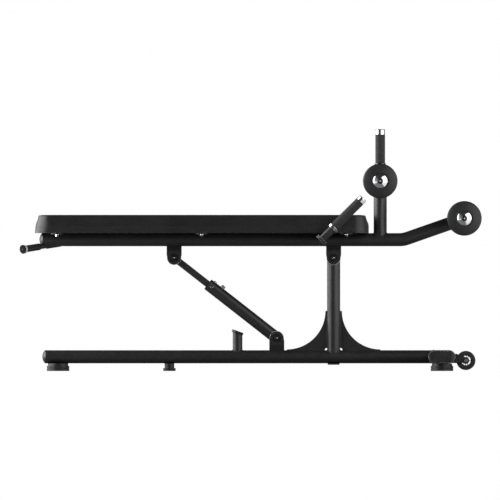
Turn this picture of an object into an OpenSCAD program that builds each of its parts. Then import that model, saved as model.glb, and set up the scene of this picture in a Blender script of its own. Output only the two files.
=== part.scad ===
// Adjustable abdominal bench: a base with an upright post, a tilting bench frame
// with pad, rollers and handles, and a telescopic strut that sets the decline.
// Origin: on the floor, in the middle of the length and width. +X to the foot
// rollers, +Z up. Millimetres.

/* [Frame tubes] */
// Height of the base beam and the bench beam
tube_h = 50; // [46:1:54]
// Width of the two beams across the bench
tube_w = 56; // [54:1:64]
// Wall of the beams, posts and crossbar
tube_wall = 2.5; // [1.5:0.5:4]
// Height of the domed end caps
dome_h = 13; // [8:1:18]

/* [Base] */
// Height of the base beam's axis above the floor
base_z = 54; // [50:1:60]
// Front end of the base beam's tube
base_front_x = -777; // [-800:1:-760]
// Middle of the rear crossbar
crossbar_x = 726; // [715:1:735]
// Width of the flat oval crossbar
crossbar_w = 103; // [90:1:110]
// Height of the rear crossbar, 1 mm or more above that of the tubes
crossbar_h = 51; // [51:1:80]
// Length of the crossbar without its caps
crossbar_l = 620; // [580:5:680]
// Thickness of the crossbar's end caps
crossbar_cap_t = 9; // [6:1:12]

/* [Feet] */
// Diameter of the front and rear rubber soles
sole_d = 85.5; // [76:0.5:90]
// Thickness of the front and rear rubber soles
sole_t = 19.5; // [14:0.5:22]
// Diameter of the mount above a large sole
foot_mount_d = 77; // [66:1:82]
// Place of the front foot
front_foot_x = -733; // [-740:1:-700]
// Place of the centre foot
centre_foot_x = -310; // [-330:1:-200]
// Diameter of the centre foot's sole
centre_sole_d = 48; // [42:1:60]
// Thickness of the centre foot's sole
centre_sole_t = 11; // [8:0.5:14]
// Diameter of the centre foot's stem
centre_stem_d = 37; // [30:1:40]
// Distance of each rear foot from the middle
rear_foot_y = 262; // [240:1:262]

/* [Transport wheels] */
// Diameter of a wheel
wheel_d = 73; // [66:1:76]
// Width of a wheel
wheel_w = 26; // [20:1:32]
// Place of the wheel axle along the bench
wheel_x = 816.5; // [812:0.5:820]
// Height of the wheel axle
wheel_z = 40; // [38.5:0.5:44]
// Distance of each wheel from the middle
wheel_y = 240; // [200:1:260]
// Number of slots through the wheel
wheel_slots = 12; // [8:1:12]
// Inner radius of the slots
slot_in_r = 13.3; // [12:0.1:14]
// Outer radius of the slots
slot_out_r = 18.1; // [17:0.1:20]
// Diameter of the wheel's bolt
wheel_bolt_d = 8; // [6:1:10]

/* [Upright post] */
// Place of the post and of the main pivot
post_x = 314; // [305:1:320]
// Diameter of the post
post_d = 50; // [46:1:52]
// Height of the main pivot
pivot_z = 430; // [420:1:440]
// Radius of the concave gussets
gusset_r = 146; // [120:1:150]
// Width of a gusset where its curve ends
gusset_lip = 6.5; // [5:0.5:9]
// Thickness of a gusset
gusset_t = 6; // [4:1:8]
// Radius of the open corner of a gusset
gusset_notch_r = 11; // [8:1:14]
// Width of the plate under the post
foot_plate_w = 45; // [36:1:50]
// Thickness of the plate under the post
foot_plate_t = 5.5; // [4:0.5:8]

/* [Pivot brackets] */
// Width of a bracket plate
bracket_w = 57; // [54:1:60]
// Clear gap between the two plates of a bracket
bracket_gap = 58; // [56:1:62]
// Thickness of the bracket plates
cheek_t = 5; // [4:0.5:6]
// Radius of the rounded nose of a bracket
nose_r = 25.5; // [24:0.5:27]
// Height on the tube's flank where the bracket meets it
flank_h = 17.5; // [15:0.5:20]
// Diameter of the pivot bolts
pin_d = 18; // [14:1:20]
// Radius of the round washers beside the brackets
washer_r = 27; // [26:0.5:28]
// Radius of the flange of the pivot bolts
bolt_flange_r = 15.6; // [13:0.1:17]
// Diameter of the welded pivot bushes
bush_d = 38; // [34:1:42]

/* [Strut] */
// Place of the strut's lower pivot
strut_x = 98; // [90:1:105]
// Height of the strut's lower pivot
strut_z = 125; // [122:1:130]
// Distance from the main pivot to the strut's upper pivot
bench_arm = 606; // [596:1:612]
// Diameter of the strut's outer tube
strut_d = 46; // [44:1:48]
// Wall of the strut's outer tube
strut_wall = 2.5; // [2:0.5:3]
// Length of the outer tube from the lower pivot
strut_outer_l = 329; // [315:1:335]
// Width of the square inner tube
inner_w = 26; // [22:1:28]
// Wall of the inner tube
inner_wall = 2.5; // [2:0.5:3.5]
// Length of the inner tube from the upper pivot
inner_l = 345; // [320:1:350]
// Distance of the lock pin from the outer tube's mouth
lock_gap = 49; // [44:1:54]
// Diameter of the lock pin
lock_pin_d = 8; // [6:0.5:10]
// Depth that the lock pin drops into a hole
lock_travel = 9; // [6:0.5:10]
// Number of lock holes in the inner tube
lock_holes = 5; // [3:1:6]

/* [Decline] */
// Largest decline of the bench in degrees
decline_max = 17.5; // [16:0.1:18]
// Degrees that the strut turns for each degree of decline
strut_turn = 1.074; // [1.07:0.001:1.08]
// Travel of the strut for each radian of decline
strut_travel = 372; // [365:1:378]
// Place of the rest stop under the strut
stop_x = -51; // [-60:1:-40]
// Diameter of the rest stop's stem
stop_d = 37; // [30:1:40]
// Diameter of the rest stop's rubber pad
stop_pad_d = 45; // [40:1:50]
// Thickness of the rest stop's rubber pad
stop_pad_t = 10; // [6:1:12]

/* [Bench frame] */
// Height of the bench beam's axis
bench_z = 499; // [494:1:504]
// Corner where the bench beam turns upwards
bend_x = 579.5; // [570:0.5:590]
// Radius of the bend
bend_r = 90; // [80:5:120]
// Angle of the rising end in degrees
rise_angle = 19.3; // [16:0.1:22]
// Distance from the corner to the foot roller axle
rise_l = 245; // [235:1:250]
// Place of the knee post
knee_x = 491; // [484:1:496]
// Height of the knee roller axle
knee_z = 722; // [710:1:730]
// Diameter of the upper grip's tube
post_tip_d = 30; // [26:1:32]
// Diameter of the upper grip
post_grip_d = 37; // [34:1:40]
// Top of the upper grip's cap
post_top_z = 919; // [910:1:930]
// Height of the chrome cap on the upper grip
post_cap_h = 20; // [15:1:24]
// Lower end of the upper grip
post_grip_z = 790; // [790:1:800]

/* [Pad] */
// Gap between the pad and the knee post
pad_gap = 18; // [14:1:24]
// Length of the pad
pad_l = 1270; // [1240:2:1280]
// Width of the pad
pad_w = 290; // [270:2:300]
// Thickness of the pad with its board
pad_t = 67; // [60:1:75]
// Thickness of the pad's board
board_t = 12; // [9:1:15]
// Radius of the pad's corners seen from above
pad_corner_r = 60; // [50:1:80]
// Height of the sewn seam above the pad's underside
seam_h = 24.5; // [22:0.5:28]
// Depth of the sewn seam
seam_d = 2; // [1:0.5:3]
// How far the pad's top edge is drawn in
pad_draw_in = 18; // [12:1:22]
// Rise of the pad's crown above its edge
pad_crown = 5; // [3:0.5:8]
// How far the pad reaches past the bench beam's front end
pad_reach = 34; // [28:1:40]
// Distance of the outer mounting wings from the pad's ends
wing_end = 85.5; // [75:0.5:95]
// Length of a mounting wing along the bench
wing_l = 49; // [40:1:56]
// Thickness of a mounting wing
wing_t = 5.5; // [4:0.5:6]
// Reach of a mounting wing from the middle
wing_reach = 95; // [85:1:110]
// Distance of the pad bolts from the middle
pad_bolt_y = 66; // [55:1:75]

/* [Rollers] */
// Diameter of the foam rollers
roller_d = 132; // [120:1:134]
// Length of a foam roller
roller_l = 175; // [160:1:190]
// Distance of a foam roller's inner end from the middle
roller_in_y = 34; // [32:1:40]
// Radius of the foam's rounded edges
roller_edge_r = 14; // [8:1:20]
// Diameter of the roller axles
axle_d = 25; // [22:1:26]
// Wall of the roller's inner sleeve
sleeve_wall = 3; // [2:0.5:4]
// Radius of the chrome end discs
disc_r = 27; // [24:0.5:30]
// Thickness of the domed chrome end discs at their middle
disc_t = 8.5; // [6:0.5:10]

/* [Side handles] */
// Distance of each side handle from the middle
handle_y = 195; // [190:1:210]
// Lower end of a side handle along the bench
handle_x = 263; // [259:1:267]
// Height of a side handle's lower end
handle_z = 495; // [492:1:500]
// Angle of the side handles in degrees
handle_angle = 44.7; // [40:0.1:50]
// Length of a side handle
handle_l = 230; // [220:1:240]
// Diameter of a side handle's tube
handle_d = 29; // [26:1:30]
// Diameter of the side handle's rubber grip
handle_grip_d = 35.5; // [34:0.5:38]
// Diameter of the flange at the lower end
handle_flange_d = 45; // [42:1:48]
// Thickness of the flange at the lower end
handle_flange_t = 12; // [6:1:14]
// Diameter of the chrome collar below the grip
collar_d = 42; // [40:1:46]
// Length of the chrome collar below the grip
collar_l = 11.6; // [8:0.1:14]
// Distance of the collar from the lower end
collar_s = 64; // [58:1:70]
// Length of the chrome cap at the upper end
handle_cap_l = 17; // [12:1:20]
// Diameter of the cross tube that carries the handles
cross_d = 25; // [22:1:26]
// Distance of the cross tube from the handle's lower end
cross_s = 14; // [13:0.5:15]

/* [Lift handle] */
// Distance from the bench beam's end to where the two arms meet
lift_in = 8; // [4:1:14]
// Height of the point where the two arms meet
lift_z = 476; // [474:0.5:478]
// Slope of the lift handle in degrees
lift_slope = 9; // [6:0.5:10]
// Spread of each arm from straight ahead in degrees
lift_spread = 46; // [42:1:50]
// Length of each arm to the end of its knob
lift_l = 128; // [120:1:134]
// Diameter of the lift handle's bar
lift_d = 20; // [18:1:22]
// Diameter of the lift handle's grips
lift_grip_d = 26; // [24:0.5:28]
// Length of the spigot under the beam
spigot_l = 58; // [50:1:64]
// Diameter of the spigot under the beam
spigot_d = 25; // [22:1:26]
// Diameter of the end knobs
lift_knob_d = 34; // [30:1:36]

/* [Hidden] */
$fn = 64;
// Running clearance of a shaft in its bore, on the radius
run_gap = 0.05;
// Clearance between faces that pass each other
face_gap = 0.3;
// Overlap of a cutting solid past the face that it cuts
cut = 1;
tube_r = tube_h / 2;
tube_flat = tube_w - tube_h;
base_top = base_z + tube_r;
base_bottom = base_z - tube_r;
bench_top = bench_z + tube_r;
post_r = post_d / 2;
crossbar_end_x = crossbar_x - crossbar_w / 2 + tube_r;
strut_r = strut_d / 2;
pin_r = pin_d / 2;
washer_t = 2.6;
bush_half = bracket_gap / 2 - washer_t - face_gap;
cheek_out = bracket_gap / 2 + cheek_t;
upper_pin_x = post_x - bench_arm;
strut_run = strut_x - upper_pin_x;
strut_rise = pivot_z - strut_z;
strut_angle = atan2(strut_rise, strut_run);
strut_l = sqrt(strut_run * strut_run + strut_rise * strut_rise);
strut_low_angle = strut_angle - strut_turn * decline_max;
strut_stroke = strut_travel * decline_max * PI / 180;
// Clearance of the inner tube's eye, which follows the upper bolt by constant ratios
eye_gap = 3.8;
guide_l = 76;
guide_lip = 4;
foot_axle_x = bend_x + rise_l * cos(rise_angle);
foot_axle_z = bench_z + rise_l * sin(rise_angle);
bend_tangent = bend_r * tan(rise_angle / 2);
roller_out_y = roller_in_y + roller_l;
sleeve_in_y = roller_in_y - 1;
sleeve_out_y = roller_out_y + 1;
axle_half = sleeve_out_y + 0.5;
disc_bolt_r = 5;
pad_bottom = bench_top + 1;
pad_top = pad_bottom + pad_t;
pad_x = knee_x - post_r - pad_gap - pad_l / 2;
wing_pitch = pad_l / 2 - wing_end;
wing_x = [for (i = [-1:1]) pad_x + i * wing_pitch];
bench_front_x = pad_x - pad_l / 2 + pad_reach;
lift_x = bench_front_x + lift_in;
housing_d = tube_h + 2;
housing_half = roller_in_y - 3;
handle_cross_x = handle_x + cross_s * cos(handle_angle);
handle_cross_z = handle_z + cross_s * sin(handle_angle);
handle_tube_end = handle_l - handle_cap_l;
lift_plug_t = 3;
lift_ring_l = 9;
lift_ring_s = lift_l - lift_plug_t - lift_ring_l;
lift_neck_r = 12;
lift_grip_s = 35;
lock_s = strut_outer_l - lock_gap;
screw_s = strut_outer_l - 15;
screw_r = 3;
lock_housing_r = 10;
lock_housing_z = strut_r + 11;
wheel_nose_r = 10;
wheel_plate_t = 5;
wheel_plate_y = wheel_w / 2 + 3;
pad_bolt_d = 8;
// Place of the rest stop along the lowered strut
stop_s = (strut_x - stop_x - (strut_r + face_gap + stop_pad_t / 2) * sin(strut_low_angle))
    / cos(strut_low_angle);
// Height and inset of the cushion's outline, from its board to its crown
shoulder_h = pad_t - pad_crown - seam_h;
crown_reach = pad_w / 2 - pad_draw_in;
pad_rings = concat(
    [
        [board_t, seam_d],
        [board_t + 4, 0],
        [seam_h - 3, 0],
        [seam_h, seam_d],
        [seam_h + 2, seam_d * 0.6]
    ],
    [
        for (i = [0:4])
            let (a = i * 18)
            [
                seam_h + 4 + (shoulder_h - 4) * sin(a),
                seam_d * 0.4 + (pad_draw_in - seam_d * 0.4) * pow(1 - cos(a), 0.8)
            ]
    ],
    [
        for (i = [0:4])
            let (u = i / 5)
            [pad_t - pad_crown * pow(1 - u, 2.2), pad_draw_in + 2 + (crown_reach - 4) * u]
    ]
);
corner_steps = 7;
steel = [0.16, 0.16, 0.17];
chrome = [0.86, 0.87, 0.88];
rubber = [0.09, 0.09, 0.09];
plastic = [0.12, 0.12, 0.13];
leather = [0.15, 0.15, 0.16];
foam = [0.11, 0.11, 0.11];

// Point where a line from p touches a circle about the origin, on the side given by
// turn. It lies a hair inside the circle, so that line and circle cross.
function touch_point(p, r, turn) =
    let (a = atan2(p[1], p[0]) + turn * acos(r / norm(p)))
    0.996 * r * [cos(a), sin(a)];

// Round-sided tube section, w across and h high
module oval(w, h) {
    flat = w - h;
    translate([flat / 2, 0])
        circle(d = h);
    translate([-flat / 2, 0])
        circle(d = h);
    square([flat, h], center = true);
}

// Round-sided bar along X
module bar_x(x0, x1, w, h) {
    translate([x0, 0, 0])
        rotate([90, 0, 90])
            linear_extrude(x1 - x0)
                oval(w, h);
}

// Round-sided bar along Y, centred
module bar_y(l, w, h) {
    rotate([90, 0, 0])
        linear_extrude(l, center = true)
            oval(w, h);
}

// Round rod along Y between two places
module rod_y(y0, y1, r) {
    translate([0, y1, 0])
        rotate([90, 0, 0])
            cylinder(h = y1 - y0, r = r);
}

// Round rod along X between two places
module rod_x(x0, x1, r) {
    translate([x0, 0, 0])
        rotate([0, 90, 0])
            cylinder(h = x1 - x0, r = r);
}

// Rod along X with rounded ends, turned from its outline
module soft_rod_x(x0, x1, r, edge) {
    translate([x0, 0, 0])
        rotate([0, 90, 0])
            rotate_extrude()
                soft_half(x1 - x0, r, edge);
}

// Half section of a rod of length l with both edges rounded
module soft_half(l, r, edge) {
    square([r - edge, l]);
    translate([0, edge])
        square([r, l - 2 * edge]);
    for (y = [edge, l - edge])
        translate([r - edge, y])
            circle(r = edge, $fn = 32);
}

// A shape on both sides of the bench
module both_sides() {
    children();
    mirror([0, 1, 0])
        children();
}

// Frame of the strut: its lower pivot at the origin, the tube along -X, its top side +Z
module along_strut(angle = strut_angle) {
    translate([strut_x, 0, strut_z])
        rotate([0, angle, 0])
            children();
}

// Frame of the right-hand side handle, along +X from its lower end
module along_handle() {
    translate([handle_x, -handle_y, handle_z])
        rotate([0, -handle_angle, 0])
            children();
}

// Frame of the right-hand arm of the lift handle, along +X from where the arms meet
module along_lift_arm() {
    translate([lift_x, 0, lift_z])
        rotate([0, 0, 180 + lift_spread])
            rotate([0, atan(tan(lift_slope) * cos(lift_spread)), 0])
                children();
}

// Solid outlines that other pieces are cut to
module base_beam_solid() {
    translate([0, 0, base_z])
        bar_x(base_front_x, crossbar_end_x, tube_w, tube_h);
}

module crossbar_solid() {
    translate([crossbar_x, 0, base_z])
        bar_y(crossbar_l, crossbar_w, crossbar_h);
}

module post_solid() {
    translate([post_x, 0, base_z])
        cylinder(h = pivot_z - base_z, r = post_r);
}

module bench_bar_solid() {
    translate([0, 0, bench_z])
        bar_x(bench_front_x, bend_x - bend_tangent, tube_w, tube_h);
}

// Bench beam with its bend, a hair thicker in the bend
module bench_beam_solid(w, h) {
    lap = 1;
    swell = 0.2;
    translate([0, 0, bench_z])
        bar_x(bench_front_x, bend_x - bend_tangent + lap, w, h);
    translate([bend_x - bend_tangent, 0, bench_z + bend_r])
        rotate([90, 0, 0])
            rotate([0, 0, -90])
                rotate_extrude(angle = rise_angle, $fn = 180)
                    translate([bend_r, 0])
                        rotate([0, 0, 90])
                            oval(w + swell, h + swell);
    translate([bend_x, 0, bench_z])
        rotate([0, -rise_angle, 0])
            bar_x(bend_tangent - lap, rise_l, w, h);
}

// Base

module base_beam() {
    color(steel)
        difference() {
            base_beam_solid();
            translate([0, 0, base_z])
                bar_x(base_front_x - cut, crossbar_end_x + cut, tube_w - 2 * tube_wall,
                    tube_h - 2 * tube_wall);
            crossbar_solid();
        }
}

// Domed cap on a beam's front end, its rim face at x = 0 and its plug inside the tube
module dome_cap() {
    rim = 3;
    plug_l = 18;
    ball_r = (tube_w * tube_w / 4 + dome_h * dome_h) / (2 * dome_h);
    intersection() {
        bar_x(-rim - dome_h, 0, tube_w, tube_h);
        translate([ball_r - rim - dome_h, 0, 0])
            sphere(r = ball_r, $fn = 96);
    }
    bar_x(0, plug_l, tube_w - 2 * tube_wall - 2 * face_gap, tube_h - 2 * tube_wall - 2 * face_gap);
}

module beam_end_caps() {
    color(plastic)
        translate([base_front_x, 0, base_z])
            dome_cap();
}

module rear_crossbar() {
    color(steel)
        translate([crossbar_x, 0, base_z])
            difference() {
                bar_y(crossbar_l, crossbar_w, crossbar_h);
                bar_y(crossbar_l + 2 * cut, crossbar_w - 2 * tube_wall,
                    crossbar_h - 2 * tube_wall);
            }
}

// Cap's outer face: flat in the middle, rounded to its two ends. The round parts stand
// a hair over the flat one.
module cap_face() {
    turn_r = 34;
    edge_t = 3.5;
    drop = crossbar_cap_t - edge_t;
    turn_x = crossbar_w / 2 - sqrt(turn_r * turn_r - pow(turn_r - drop, 2));
    translate([-turn_x, -crossbar_cap_t + 0.15, -crossbar_h])
        cube([2 * turn_x, crossbar_cap_t + cut, 2 * crossbar_h]);
    for (side = [-1, 1])
        translate([side * turn_x, turn_r - crossbar_cap_t + 0.05, -crossbar_h])
            cylinder(h = 2 * crossbar_h, r = turn_r);
}

// Flat oval cap with a bevelled face and a plug inside the crossbar
module crossbar_end_caps() {
    plug_l = 20;
    bevel = 3;
    color(plastic)
        both_sides()
            translate([crossbar_x, -crossbar_l / 2, base_z]) {
                translate([0, plug_l / 2, 0])
                    bar_y(plug_l, crossbar_w - 2 * tube_wall - 2 * face_gap,
                        crossbar_h - 2 * tube_wall - 2 * face_gap);
                intersection() {
                    union() {
                        translate([0, -(crossbar_cap_t - bevel) / 2, 0])
                            bar_y(crossbar_cap_t - bevel, crossbar_w, crossbar_h);
                        translate([0, -crossbar_cap_t + bevel, 0])
                            rotate([90, 0, 0])
                                bevelled_oval(crossbar_w, crossbar_h, bevel);
                    }
                    cap_face();
                }
            }
}

// Oval plate whose upper edge is bevelled
module bevelled_oval(w, h, bevel) {
    flat = w - h;
    for (side = [-1, 1])
        translate([side * flat / 2, 0, 0])
            cylinder(h = bevel, r1 = h / 2, r2 = h / 2 - bevel);
    rotate([90, 0, 90])
        linear_extrude(flat, center = true)
            polygon([
                [-h / 2, 0],
                [h / 2, 0],
                [h / 2 - bevel, bevel],
                [-h / 2 + bevel, bevel]
            ]);
}

module upright_post() {
    color(steel)
        difference() {
            post_solid();
            translate([post_x, 0, base_z - cut])
                cylinder(h = pivot_z - base_z + 2 * cut, r = post_r - tube_wall);
            base_beam_solid();
            translate([post_x, 0, pivot_z])
                rod_y(-post_r - cut, post_r + cut, bush_d / 2);
        }
}

module post_bush() {
    color(steel)
        translate([post_x, 0, pivot_z])
            difference() {
                rod_y(-bush_half, bush_half, bush_d / 2);
                rod_y(-bush_half - cut, bush_half + cut, pin_r + run_gap);
            }
}

module post_foot_plate() {
    plate_d = 40;
    color(steel)
        translate([post_x - foot_plate_w / 2, -plate_d / 2, base_bottom - foot_plate_t])
            cube([foot_plate_w, plate_d, foot_plate_t]);
}

// Plate in the corner of post and beam, its free edge a concave quarter circle
module gusset(side) {
    corner_x = post_r;
    reach = corner_x + gusset_lip + gusset_r;
    top = base_top + gusset_lip / 2 + gusset_r;
    translate([post_x, 0, 0])
        mirror([side < 0 ? 1 : 0, 0, 0])
            rotate([90, 0, 0])
                linear_extrude(gusset_t, center = true)
                    difference() {
                        translate([0, base_z])
                            square([reach, top - base_z]);
                        translate([reach, top])
                            circle(r = gusset_r, $fn = 128);
                        translate([corner_x, base_top])
                            circle(r = gusset_notch_r);
                    }
}

module trimmed_gusset(side) {
    color(steel)
        difference() {
            gusset(side);
            post_solid();
            base_beam_solid();
        }
}

module front_gusset() {
    trimmed_gusset(-1);
}

module rear_gusset() {
    trimmed_gusset(1);
}

// Two flared plates about a pivot at the origin. The tube that they are welded to
// lies at height drop.
module bracket_plates(drop) {
    flare_z = washer_r + 1;
    shoulder_z = 11;
    flank_y = tube_flat / 2 + sqrt(tube_r * tube_r - flank_h * flank_h);
    foot_z = drop - flank_h;
    slope = (cheek_out - flank_y) / (foot_z - flare_z);
    sunk_z = foot_z + 6;
    sunk_y = flank_y - slope * 6;
    left_touch = touch_point([-bracket_w / 2, shoulder_z], nose_r, 1);
    right_touch = touch_point([bracket_w / 2, shoulder_z], nose_r, -1);
    difference() {
        intersection() {
            both_sides()
                rotate([90, 0, 90])
                    linear_extrude(bracket_w, center = true)
                        polygon([
                            [cheek_out, -nose_r - cut],
                            [cheek_out, flare_z],
                            [sunk_y, sunk_z],
                            [sunk_y - cheek_t, sunk_z],
                            [cheek_out - cheek_t, flare_z - 1],
                            [cheek_out - cheek_t, -nose_r - cut]
                        ]);
            union() {
                rod_y(-cheek_out - cut, cheek_out + cut, nose_r);
                rotate([90, 0, 0])
                    linear_extrude(2 * (cheek_out + cut), center = true)
                        polygon([
                            left_touch,
                            [-bracket_w / 2, shoulder_z],
                            [-bracket_w / 2, sunk_z + cut],
                            [bracket_w / 2, sunk_z + cut],
                            [bracket_w / 2, shoulder_z],
                            right_touch
                        ]);
            }
        }
        rod_y(-cheek_out - cut, cheek_out + cut, pin_r + run_gap);
    }
}

// Through bolt with a flanged round head, and the flanged nut on its far end
module pivot_bolt() {
    flange_t = 3;
    head_h = 7;
    nut_h = 11;
    nut_y = cheek_out + flange_t + nut_h;
    difference() {
        union() {
            rod_y(-cheek_out, nut_y + 3, pin_r);
            rod_y(-cheek_out - flange_t, -cheek_out, bolt_flange_r);
            translate([0, -cheek_out - flange_t, 0])
                rotate([90, 0, 0])
                    rotate_extrude()
                        soft_half(head_h, pin_r, 2);
        }
        translate([0, -cheek_out - flange_t - head_h + 4, 0])
            rotate([90, 0, 0])
                cylinder(h = head_h, r = 4, $fn = 6);
    }
    difference() {
        union() {
            rod_y(cheek_out, cheek_out + flange_t, bolt_flange_r);
            translate([0, cheek_out + flange_t + nut_h, 0])
                rotate([90, 0, 0])
                    cylinder(h = nut_h, r = pin_r * 1.6, $fn = 6);
        }
        rod_y(cheek_out - cut, nut_y + cut, pin_r + run_gap);
    }
}

// Round washers between a bracket's plates and what turns between them
module pivot_washers() {
    both_sides()
        difference() {
            rod_y(-bracket_gap / 2, -bracket_gap / 2 + washer_t, washer_r);
            rod_y(-bracket_gap / 2 - cut, -bracket_gap / 2 + washer_t + cut, pin_r + run_gap);
        }
}

module strut_lower_bracket() {
    color(steel)
        difference() {
            translate([strut_x, 0, strut_z])
                rotate([180, 0, 0])
                    bracket_plates(strut_z - base_z);
            base_beam_solid();
        }
}

module strut_lower_bolt() {
    color(chrome)
        translate([strut_x, 0, strut_z])
            pivot_bolt();
}

module strut_lower_washers() {
    color(chrome)
        translate([strut_x, 0, strut_z])
            pivot_washers();
}

// Stem under the strut, cut off parallel to the lowered strut
module rest_stop_post() {
    high = strut_z;
    color(steel)
        difference() {
            translate([stop_x, 0, base_z])
                cylinder(h = high, d = stop_d);
            base_beam_solid();
            along_strut(strut_low_angle)
                translate([-stop_s - high, -stop_d, -strut_r - face_gap - stop_pad_t])
                    cube([2 * high, 2 * stop_d, 3 * high]);
        }
}

module rest_stop_pad() {
    color(rubber)
        along_strut(strut_low_angle)
            translate([-stop_s, 0, -strut_r - face_gap - stop_pad_t])
                rotate_extrude()
                    soft_half(stop_pad_t, stop_pad_d / 2, 2.5);
}

module foot_mounts() {
    color(plastic) {
        translate([front_foot_x, 0, sole_t])
            cylinder(h = base_bottom - sole_t, d = foot_mount_d);
        translate([centre_foot_x, 0, centre_sole_t])
            cylinder(h = base_bottom - centre_sole_t, d = centre_stem_d);
        for (side = [-1, 1])
            translate([crossbar_x, side * rear_foot_y, sole_t])
                cylinder(h = base_z - crossbar_h / 2 - sole_t, d = foot_mount_d);
    }
}

// Rubber sole with a turned groove round its rim
module foot_sole(d, t) {
    groove = 1.2;
    rotate_extrude()
        difference() {
            square([d / 2, t]);
            translate([d / 2, t * 0.55])
                circle(r = groove, $fn = 24);
            translate([d / 2 - groove, -cut])
                square([groove + cut, groove + cut]);
        }
}

module foot_soles() {
    color(rubber) {
        translate([front_foot_x, 0, 0])
            foot_sole(sole_d, sole_t);
        translate([centre_foot_x, 0, 0])
            foot_sole(centre_sole_d, centre_sole_t);
        for (side = [-1, 1])
            translate([crossbar_x, side * rear_foot_y, 0])
                foot_sole(sole_d, sole_t);
    }
}

// Tapered plate from the crossbar to the wheel axle, at the origin in XZ
module wheel_plate() {
    root_x = crossbar_x - wheel_x + 30;
    top = base_z + 11.5 - wheel_z;
    bottom = -wheel_nose_r;
    shoulder = crossbar_x + crossbar_w / 2 + 4 - wheel_x;
    upper_touch = touch_point([shoulder, top], wheel_nose_r, -1);
    rotate([90, 0, 0])
        linear_extrude(wheel_plate_t, center = true)
            difference() {
                union() {
                    circle(r = wheel_nose_r);
                    polygon([
                        [root_x, top],
                        [shoulder, top],
                        upper_touch,
                        [0, 0],
                        [0, bottom],
                        [root_x, bottom]
                    ]);
                }
                circle(d = wheel_bolt_d + 2 * run_gap);
            }
}

module wheel_brackets() {
    color(steel)
        both_sides()
            difference() {
                for (side = [-1, 1])
                    translate([wheel_x, -wheel_y + side * (wheel_plate_y + wheel_plate_t / 2), wheel_z])
                        wheel_plate();
                crossbar_solid();
            }
}

module wheel_bolts() {
    head_h = 4;
    half = wheel_plate_y + wheel_plate_t;
    color(chrome)
        both_sides()
            translate([wheel_x, -wheel_y, wheel_z]) {
                rod_y(-half, half, wheel_bolt_d / 2);
                rod_y(-half - head_h, -half, 6.5);
                translate([0, half + 6, 0])
                    rotate([90, 0, 0])
                        cylinder(h = 6, r = 7.5, $fn = 6);
            }
}

// Moulded wheel with slots right through it, its axle along Y
module wheel() {
    dish_r = slot_in_r - 1;
    rim_r = wheel_d / 2;
    web = 2.9;
    slot_turn = 4.5;
    rotate([90, 0, 0])
        difference() {
            rotate_extrude()
                difference() {
                    translate([wheel_bolt_d / 2 + 0.1, -wheel_w / 2])
                        square([rim_r - wheel_bolt_d / 2 - 0.1, wheel_w]);
                    for (side = [-1, 1]) {
                        translate([dish_r, side * wheel_w / 2 - 5])
                            square([slot_out_r + 3 - dish_r, 10]);
                        translate([rim_r, side * wheel_w / 2])
                            rotate([0, 0, 45])
                                square(3.5, center = true);
                    }
                }
            difference() {
                linear_extrude(2 * wheel_w, center = true)
                    difference() {
                        circle(r = slot_out_r);
                        circle(r = slot_in_r);
                    }
                for (i = [0:wheel_slots - 1])
                    rotate([0, 0, i * 360 / wheel_slots - slot_turn])
                        translate([0, -web / 2, -wheel_w])
                            cube([wheel_d, web, 2 * wheel_w]);
            }
        }
}

module wheel_left() {
    color(rubber)
        translate([wheel_x, wheel_y, wheel_z])
            wheel();
}

module wheel_right() {
    color(rubber)
        translate([wheel_x, -wheel_y, wheel_z])
            wheel();
}

// Bench frame

module bench_beam() {
    color(steel)
        difference() {
            union() {
                difference() {
                    bench_beam_solid(tube_w, tube_h);
                    bench_beam_solid(tube_w - 2 * tube_wall, tube_h - 2 * tube_wall);
                }
                translate([foot_axle_x, 0, foot_axle_z])
                    rod_y(-housing_half, housing_half, housing_d / 2);
            }
            translate([foot_axle_x, 0, foot_axle_z])
                rod_y(-housing_half - cut, housing_half + cut, axle_d / 2 + run_gap);
            translate([handle_cross_x, 0, handle_cross_z])
                rod_y(-tube_w, tube_w, cross_d / 2 + run_gap);
        }
}

module bench_end_cap() {
    color(plastic)
        translate([bench_front_x, 0, bench_z])
            dome_cap();
}

module main_bracket() {
    color(steel)
        difference() {
            translate([post_x, 0, pivot_z])
                bracket_plates(bench_z - pivot_z);
            bench_bar_solid();
        }
}

module strut_upper_bracket() {
    color(steel)
        difference() {
            translate([upper_pin_x, 0, pivot_z])
                bracket_plates(bench_z - pivot_z);
            bench_bar_solid();
        }
}

module bench_bolts() {
    color(chrome)
        for (x = [post_x, upper_pin_x])
            translate([x, 0, pivot_z])
                pivot_bolt();
}

module bench_washers() {
    color(chrome)
        for (x = [post_x, upper_pin_x])
            translate([x, 0, pivot_z])
                pivot_washers();
}

// Places of the pad's bolts
module at_pad_bolts() {
    for (x = wing_x)
        for (side = [-1, 1])
            translate([x, side * pad_bolt_y, 0])
                children();
}

// Tab welded to the beam's shoulder, its outer end rounded
module wing_outline() {
    root_y = tube_flat / 2 + 11;
    translate([-wing_l / 2, root_y])
        square([wing_l, wing_reach - wing_l / 2 - root_y]);
    translate([0, wing_reach - wing_l / 2])
        circle(d = wing_l);
}

module pad_wings() {
    color(steel)
        difference() {
            for (x = wing_x)
                both_sides()
                    translate([x, 0, pad_bottom - wing_t])
                        linear_extrude(wing_t)
                            wing_outline();
            at_pad_bolts()
                translate([0, 0, pad_bottom - wing_t - cut])
                    cylinder(h = wing_t + 2 * cut, d = pad_bolt_d + 2 * run_gap);
            bench_bar_solid();
        }
}

// Hex bolts with a flange under the head
module pad_bolts() {
    flange_t = 2;
    head_h = 6.5;
    color(chrome)
        at_pad_bolts()
            translate([0, 0, pad_bottom - wing_t]) {
                cylinder(h = wing_t + board_t - 2, d = pad_bolt_d);
                translate([0, 0, -flange_t])
                    cylinder(h = flange_t, r = 7.6);
                translate([0, 0, -flange_t - head_h])
                    cylinder(h = head_h + flange_t / 2, r = 6.6, $fn = 6);
            }
}

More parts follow.
